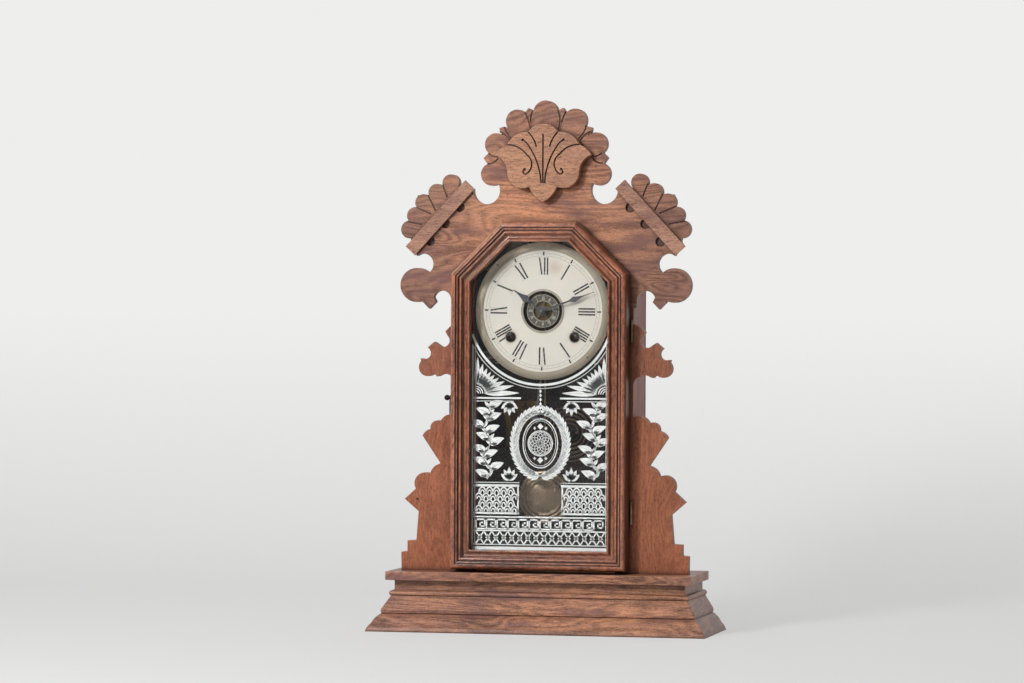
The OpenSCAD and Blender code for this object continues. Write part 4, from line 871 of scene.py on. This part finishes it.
# Heights of the glass print's bands and figures
PRINT_FOOT = 91.4 * MM
PRINT_TOP = 316 * MM
LATTICE_FOOT = 96.4 * MM
LATTICE_TOP = 110.5 * MM
KEYS_FOOT = 113.2 * MM
KEYS_TOP = 123.4 * MM
KEYS_LINE = 126.4 * MM
SCALES_FOOT = 130.5 * MM
SCALES_TOP = 161 * MM
VINES_FOOT = 168 * MM
VINES_TOP = 250 * MM
WREATH_MIDDLE = 208 * MM
CHAIN_FOOT = 247 * MM
FANS_FOOT = 262.5 * MM
FINE_LINE = 0.7 * MM


class CLOCK_OT_door_glass(ClockOperator):
    """Finish the glass and print a generic design of borders, fans, vines, a wreath and lattice behind it"""

    bl_idname = "clock.door_glass"
    bl_label = "Glass and its print"

    def execute(self, context):
        s = context.scene.clock_print
        paint(glass_finish(), "door_glass")
        p = Plates(GLASS_BACK + 0.02 * MM, 0.05 * MM, DOOR_X)
        self.half = s.half_width
        self.dial = (DIAL_MIDDLE.x - DOOR_X, DIAL_MIDDLE.z)
        self.borders(p, s)
        self.fans(p)
        self.vines(p, s.vine_leaves)
        self.medallion(p, s.wreath_leaves)
        self.sprays(p)
        self.scale_panels(p)
        self.lower_band(p)
        p.piece("glass_print", silver_print_finish(s), "door")
        return {"FINISHED"}

    def both(self, plates, points):
        """A shape and its mirror image."""
        plates.polygon(points)
        plates.polygon(mirrored(points))

    def bar(self, plates, x0, x1, z0, z1):
        """Upright rectangle."""
        plates.polygon([(x0, z0), (x1, z0), (x1, z1), (x0, z1)])

    def borders(self, p, s):
        """Frame along the glass's edges, and two arcs round the foot of the dial."""
        for inset, width in ((0.4 * MM, s.line), (3.3 * MM, FINE_LINE)):
            edge = self.half - inset
            for x in (-edge, edge):
                self.bar(p, x - width / 2, x + width / 2, PRINT_FOOT + inset, PRINT_TOP)
        self.bar(p, -self.half, self.half, PRINT_FOOT - 1.4 * MM, PRINT_FOOT + 2.2 * MM)
        for radius, width in ((81.4 * MM, 2.6 * MM), (85.4 * MM, FINE_LINE)):
            reach = math.degrees(math.acos(self.half / radius))
            p.polygon(ribbon(arc_points(self.dial, radius, radius, -reach, reach - 180, 60), width))

    def fans(self, p):
        """Fan of pointed rays in each corner below the dial."""
        rays, first, sweep = 9, 3, 86
        clear, inner, longest, passing = 87.2 * MM, 9.4 * MM, 52 * MM, 50 * MM
        for side in (-1, 1):
            foot = (side * (self.half - 4 * MM), FANS_FOOT)
            ox, oz = foot[0] - self.dial[0], foot[1] - self.dial[1]
            for i in range(rays):
                angle = math.radians(90 + side * (first + sweep * i / (rays - 1)))
                dx, dz = math.cos(angle), math.sin(angle)
                along = ox * dx + oz * dz
                room = along * along - (ox * ox + oz * oz - clear ** 2)
                reach = -along - math.sqrt(room) if room > 0 else passing
                start = (foot[0] + dx * inner, foot[1] + dz * inner)
                leaf(p, start, angle, min(reach, longest) - 10 * MM, 5.6 * MM, 0.5 * MM)
            for radius in (3.0, 5.4, 7.8):
                ends = (90, 180) if side > 0 else (0, 90)
                p.polygon(ribbon(arc_points(foot, radius * MM, radius * MM, *ends, 10), 1.1 * MM))
            for inner_end, low, high in ((22, 256.6, 258.6), (30, 253.8, 254.6)):
                self.bar(p, *sorted((side * self.half, side * inner_end * MM)), low * MM, high * MM)

    def vines(self, p, count):
        """Waving stem with alternate leaves up each side."""
        z0, z1, swing, waves, steps = VINES_FOOT, VINES_TOP, 3.8 * MM, 5, 60
        # Turn from upright, length, width, midrib and lean of the leaves at each joint, in mm and degrees
        leaves = ((-54, 17.5, 8.4, 0.4, -0.2), (26, 8.0, 3.4, 0.35, 0.2), (-92, 8.5, 3.2, 0.35, 0.2))
        for side in (-1, 1):
            at = side * (self.half - 17 * MM)
            path = [
                (at + swing * math.sin(i / steps * waves * math.pi), z0 + (z1 - z0) * i / steps)
                for i in range(steps + 1)
            ]
            p.polygon(ribbon(path, 1.0 * MM))
            for i in range(count):
                joint = path[round((i + 0.5) / count * steps)]
                way = 1 if i % 2 else -1
                for turn, size, width, midrib, lean in leaves:
                    angle = math.radians(90 + way * turn)
                    leaf(p, joint, angle, size * MM, width * MM, midrib * MM, way * lean)

    def medallion(self, p, count):
        """Oval wreath of leaves round a rosette of crossing rings, hung from the arc by a chain."""
        at, rx, rz = (0.0, WREATH_MIDDLE), 29 * MM, 36 * MM
        circle_ring(p, at, rx, rz, 0.8 * MM, steps=90)
        for i in range(count):
            for side in (-1, 1):
                angle = math.radians(-90 + side * 172 * (i + 0.4) / count)
                foot = (at[0] + rx * math.cos(angle), at[1] + rz * math.sin(angle))
                along = math.atan2(rz * math.cos(angle), -rx * math.sin(angle))
                if side < 0:
                    along += math.pi
                for lean in (-34, 34):
                    leaf(p, foot, along + math.radians(lean), 9.4 * MM, 4.2 * MM, 0.35 * MM)
        circle_ring(p, at, 19.5 * MM, 27.0 * MM, 1.1 * MM, steps=72)
        circle_ring(p, at, 17.4 * MM, 24.8 * MM, 0.5 * MM, steps=72)
        petal = 6.4 * MM
        for i in range(12):
            a = math.radians(i * 30)
            spot = (at[0] + petal * math.cos(a), at[1] + petal * math.sin(a))
            circle_ring(p, spot, petal, petal, 0.65 * MM, steps=32)
        circle_ring(p, at, 13.8 * MM, 13.8 * MM, 1.0 * MM, steps=60)
        for side in (-1, 1):
            self.lozenge(p, (at[0], at[1] + side * 18.6 * MM), 3.4 * MM, 3.6 * MM)
            for across in (-petal, petal):
                self.lozenge(p, (at[0] + across, at[1] + side * 16.6 * MM), 1.7 * MM, 1.9 * MM)
        links, link_step = 5, 4.6 * MM
        for i in range(links):
            self.lozenge(p, (at[0], CHAIN_FOOT + link_step * i), 1.5 * MM, 2.1 * MM)

    def sprays(self, p):
        """Spray of five leaves in each of the four gaps round the wreath."""
        x, fan_step = 35 * MM, 27
        for side in (-1, 1):
            for up, z in ((-1, 253 * MM), (1, 167 * MM)):
                for i in range(-2, 3):
                    angle = math.radians(up * 90 + i * fan_step)
                    leaf(p, (side * x, z), angle, (15 - 1.5 * abs(i)) * MM, 5.2 * MM, 0.3 * MM)

    def lozenge(self, p, at, across, rise):
        """Diamond round a point."""
        x, z = at
        p.polygon([(x + across, z), (x, z + rise), (x - across, z), (x, z - rise)])

    def scale_panels(self, p):
        """Panels of overlapping scales on both sides of the bob."""
        x0, x1, z0, z1 = 25 * MM, self.half - 3.8 * MM, SCALES_FOOT, SCALES_TOP
        for side in (-1, 1):
            left, right = sorted((side * (x0 - 1.5 * MM), side * self.half))
            for z, width in ((z0, 2.2 * MM), (z1, 2.6 * MM), (z1 + 3.4 * MM, 0.8 * MM)):
                self.bar(p, left, right, z - width / 2, z + width / 2)
        columns, rows = 6, 4
        step, rise = (x1 - x0) / columns, (z1 - z0 - 3.4 * MM) / rows
        self.both(p, ribbon([(x0, z0), (x0, z1)], 1.8 * MM))
        for row in range(rows):
            shift = step / 2 if row % 2 else 0.0
            for column in range(columns - (1 if row % 2 else 0)):
                at = (x0 + step * (column + 0.5) + shift, z0 + 1.6 * MM + row * rise)
                for radius, width in ((0.49, 1.6), (0.25, 1.3)):
                    arch = arc_points(at, step * radius, rise * radius * 2.0, 0, 180, 12)
                    self.both(p, ribbon(arch, width * MM))

    def lower_band(self, p):
        """Key frieze over a lattice of diamonds."""
        z0, z1, edge = LATTICE_FOOT, LATTICE_TOP, self.half - 4.6 * MM
        diamonds = 16
        step = 2 * edge / diamonds
        for i in range(diamonds):
            x = -edge + step * i
            for a, b in (((x, z0), (x + step, z1)), ((x, z1), (x + step, z0))):
                p.polygon(ribbon([a, b], 1.4 * MM))
            self.lozenge(p, (x + step / 2, (z0 + z1) / 2), 2.8 * MM, 3.6 * MM)
        for z, width in ((z0 - 0.5 * MM, 1.0 * MM), (z1 + 0.7 * MM, 1.4 * MM), (KEYS_LINE, 1.6 * MM)):
            self.bar(p, -self.half, self.half, z - width / 2, z + width / 2)
        low, high, keys = KEYS_FOOT, KEYS_TOP, 12
        step = 2 * edge / keys
        unit = step / 6
        line = 1.7 * MM
        half = line / 2
        for i in range(keys):
            x = -edge + step * i
            outer, inner, hook = x + 5 * unit, x + 2.4 * unit, x + 3.6 * unit
            turn_low, turn_high = low + 2.6 * MM, high - 3.6 * MM
            key = [
                (x, low), (x, high), (outer, high), (outer, turn_low), (inner, turn_low), (inner, turn_high),
                (hook, turn_high),
            ]
            for (ax, az), (bx, bz) in zip(key, key[1:]):
                self.bar(p, min(ax, bx) - half, max(ax, bx) + half, min(az, bz) - half, max(az, bz) + half)
            if i < keys - 1:
                self.bar(p, x - half, x + step + half, low - half, low + half)


class CLOCK_OT_movement(ClockOperator):
    """Finish the movement: plates, pillars, wheels and springs"""

    bl_idname = "clock.movement"
    bl_label = "Movement"

    def execute(self, context):
        s = context.scene.clock_metal
        # Painted shade: the plates are darker still than the wheels' darkened brass
        plate = metal("plate_brass", tinted(s.gear, 0.5), srgb(44, 36, 24), rough=0.42)
        wheel = metal("wheel_brass", s.gear, s.brass_dark, rough=0.32, cover=0.3)
        steel = metal("movement_steel", s.steel, srgb(78, 68, 58), rough=0.36)
        spring = metal("spring_steel", srgb(92, 96, 106), srgb(60, 54, 50), rough=0.28, cover=0.3)
        paint(plate, "front_plate", "back_plate", "movement_studs")
        paint(
            wheel, "hour_wheel", "minute_wheel", "time_great_wheel", "time_second_wheel", "centre_wheel",
            "time_third_wheel", "escape_wheel", "strike_great_wheel", "strike_second_wheel",
            "strike_third_wheel", "strike_fly",
        )
        paint(steel, "plate_pillars", "pillar_nuts", "verge", "strike_hammer")
        paint(spring, "mainsprings")
        return {"FINISHED"}


class CLOCK_OT_pendulum(ClockOperator):
    """Finish the pendulum"""

    bl_idname = "clock.pendulum"
    bl_label = "Pendulum"

    def execute(self, context):
        s = context.scene.clock_metal
        bob = metal("bob_bronze", s.bob, srgb(90, 74, 62), rough=0.24, metallic=0.7, grain=44.0, cover=0.4)
        paint(bob, "pendulum_bob")
        paint(metal("rod_steel", srgb(132, 120, 100), srgb(76, 64, 52), rough=0.4), "pendulum_rod")
        return {"FINISHED"}


class CLOCK_OT_gong(ClockOperator):
    """Finish the gong and the alarm work"""

    bl_idname = "clock.gong"
    bl_label = "Gong and alarm"

    def execute(self, context):
        s = context.scene.clock_metal
        paint(metal("gong_steel", srgb(104, 88, 74), srgb(64, 52, 44), rough=0.4), "gong_coil")
        iron = metal("gong_iron", srgb(44, 40, 38), srgb(30, 26, 24), rough=0.55, metallic=0.6)
        paint(iron, "gong_block")
        # Painted shade: the alarm's brass is the movement's darkened brass
        brass = metal("alarm_brass", s.gear, s.brass_dark, rough=0.4, cover=0.6)
        paint(brass, "alarm_frame", "alarm_wheel")
        paint(metal("alarm_steel", s.steel, srgb(70, 62, 54), rough=0.4), "alarm_hammer")
        return {"FINISHED"}


class CLOCK_OT_stage(ClockOperator):
    """Set up the floor, the lamps and the camera"""

    bl_idname = "clock.stage"
    bl_label = "Stage"

    def execute(self, context):
        s = context.scene.clock_stage
        self.backdrop(context, s)
        key_place = LAMP_TARGET + 2.3 * direction(-24, 24)
        top_place = LAMP_TARGET + Vector((0.1, -0.6, 2.2))
        self.lamp(context, "key_lamp", s.key_power, size=0.42, place=key_place)
        self.lamp(context, "top_lamp", s.top_power, size=1.6, place=top_place)
        self.sky(context, s)
        self.camera(context, s)
        context.scene.view_settings.view_transform = "Standard"
        return {"FINISHED"}

    @staticmethod
    def backdrop(context, s):
        """Floor that sweeps up into a wall, as bright as the studio to the camera and clear from behind."""
        bend, wall_y, half, top, front = 0.5, 1.1, 6.0, 4.0, -6.0
        profile = [(front, 0.0), (wall_y - bend, 0.0)]
        profile += [
            (wall_y - bend + bend * math.sin(math.radians(a)), bend - bend * math.cos(math.radians(a)))
            for a in range(6, 91, 6)
        ]
        profile.append((wall_y, top))
        verts = [(x, y, z) for y, z in profile for x in (-half, half)]
        faces = [(2 * i, 2 * i + 1, 2 * i + 3, 2 * i + 2) for i in range(len(profile) - 1)]
        mesh = bpy.data.meshes.new("backdrop")
        mesh.from_pydata(verts, [], faces)
        mesh.shade_smooth()
        f = Finish("backdrop_finish")
        f.surface(Base_Color=tuple(s.backdrop), Roughness=0.9, Specular_IOR_Level=0.1)
        rays = f.add("LightPath")
        seen = f.calc("MAXIMUM", rays.outputs["Is Camera Ray"], rays.outputs["Is Glossy Ray"])
        seen = f.calc("MAXIMUM", seen, rays.outputs["Is Transmission Ray"])
        height = f.add("SeparateXYZ", {0: f.place}).outputs["Z"]
        share = f.calc("MULTIPLY", seen, f.levels(height, 0.0, 0.35, 0.5, 1.0))
        glow = f.add("Emission", {"Color": (*s.backdrop, 1.0), "Strength": 1.0}).outputs[0]
        clear = f.add("BsdfTransparent").outputs[0]
        behind = f.add("NewGeometry").outputs["Backfacing"]
        f.show(f.mixed(behind, f.mixed(share, f.shader.outputs[0], glow), clear))
        mesh.materials.append(f.material)
        obj = bpy.data.objects.new("backdrop", mesh)
        context.scene.collection.objects.link(obj)

    @staticmethod
    def lamp(context, name, energy, size, place):
        """Square lamp that shines on the clock."""
        data = bpy.data.lights.new(name, "AREA")
        data.energy = energy
        data.size = size
        obj = bpy.data.objects.new(name, data)
        obj.location = place
        obj.rotation_euler = (place - LAMP_TARGET).to_track_quat("Z", "Y").to_euler()
        context.scene.collection.objects.link(obj)

    @staticmethod
    def sky(context, s):
        """Light from all round, brighter from the upper left, with a plain pale ground behind the clock."""
        world = bpy.data.worlds.new("studio")
        world.use_nodes = True
        tree = world.node_tree
        where = tree.nodes.new("ShaderNodeTexCoord").outputs["Generated"]
        side = tree.nodes.new("ShaderNodeVectorMath")
        side.operation = "DOT_PRODUCT"
        side.inputs[1].default_value = direction(-25, 20)
        tree.links.new(where, side.inputs[0])
        fade = tree.nodes.new("ShaderNodeValToRGB")
        tree.links.new(side.outputs["Value"], fade.inputs["Fac"])
        fade.color_ramp.elements[0].color = (*(c * 0.3 for c in srgb(236, 230, 228)), 1.0)
        fade.color_ramp.elements[1].color = (*srgb(244, 246, 250), 1.0)
        light = tree.nodes["Background"]
        light.inputs["Strength"].default_value = s.sky
        tree.links.new(fade.outputs["Color"], light.inputs["Color"])
        seen = tree.nodes.new("ShaderNodeBackground")
        seen.inputs["Color"].default_value = (*s.backdrop, 1.0)
        rays = tree.nodes.new("ShaderNodeLightPath")
        mix = tree.nodes.new("ShaderNodeMixShader")
        tree.links.new(rays.outputs["Is Camera Ray"], mix.inputs[0])
        tree.links.new(light.outputs[0], mix.inputs[1])
        tree.links.new(seen.outputs[0], mix.inputs[2])
        tree.links.new(mix.outputs[0], tree.nodes["World Output"].inputs["Surface"])
        context.scene.world = world

    @staticmethod
    def camera(context, s):
        """Camera at its distance from the target, turned, raised and rolled."""
        back = direction(math.degrees(s.azimuth), math.degrees(s.elevation))
        right = Vector((math.cos(s.azimuth), math.sin(s.azimuth), 0.0))
        up = back.cross(right)
        across = right * math.cos(s.roll) + up * math.sin(s.roll)
        rise = up * math.cos(s.roll) - right * math.sin(s.roll)
        data = bpy.data.cameras.new("camera")
        data.lens = s.lens
        data.sensor_width = SENSOR_WIDTH
        data.sensor_fit = "HORIZONTAL"
        data.clip_start, data.clip_end = 0.1, 100.0
        obj = bpy.data.objects.new("camera", data)
        turn = Matrix((across, rise, back)).transposed().to_4x4()
        obj.matrix_world = Matrix.Translation(CAMERA_TARGET + back * s.distance) @ turn
        context.scene.collection.objects.link(obj)
        context.scene.camera = obj


def direction(azimuth, elevation):
    """Unit vector towards a viewer; azimuth 0 is in front, positive to the right."""
    a, e = math.radians(azimuth), math.radians(elevation)
    return Vector((math.sin(a) * math.cos(e), -math.cos(a) * math.cos(e), math.sin(e)))


# ---- Add-on ----

OPERATORS = (
    CLOCK_OT_stage, CLOCK_OT_base, CLOCK_OT_case, CLOCK_OT_boards, CLOCK_OT_door_frame, CLOCK_OT_door_glass,
    CLOCK_OT_hardware, CLOCK_OT_dial, CLOCK_OT_hands, CLOCK_OT_movement, CLOCK_OT_pendulum, CLOCK_OT_gong,
)
SETTINGS = {
    "clock_wood": ClockWoodSettings,
    "clock_metal": ClockMetalSettings,
    "clock_dial": ClockDialSettings,
    "clock_print": ClockPrintSettings,
    "clock_stage": ClockStageSettings,
}


class CLOCK_PT_sidebar(bpy.types.Panel):
    """Panel that lists the clock's steps"""

    bl_idname = "CLOCK_PT_sidebar"
    bl_label = "Shelf Clock"
    bl_space_type = "VIEW_3D"
    bl_region_type = "UI"
    bl_category = "Shelf Clock"

    def draw(self, context):
        for operator in OPERATORS:
            self.layout.operator(operator.bl_idname)


def register():
    for name, group in SETTINGS.items():
        bpy.utils.register_class(group)
        setattr(bpy.types.Scene, name, PointerProperty(type=group))
    for operator in OPERATORS:
        bpy.utils.register_class(operator)
    bpy.utils.register_class(CLOCK_PT_sidebar)


def unregister():
    bpy.utils.unregister_class(CLOCK_PT_sidebar)
    for operator in reversed(OPERATORS):
        bpy.utils.unregister_class(operator)
    for name, group in SETTINGS.items():
        delattr(bpy.types.Scene, name)
        bpy.utils.unregister_class(group)


def main():
    register()
    for operator in OPERATORS:
        family, step = operator.bl_idname.split(".")
        getattr(getattr(bpy.ops, family), step)()


if __name__ == "__main__":
    main()
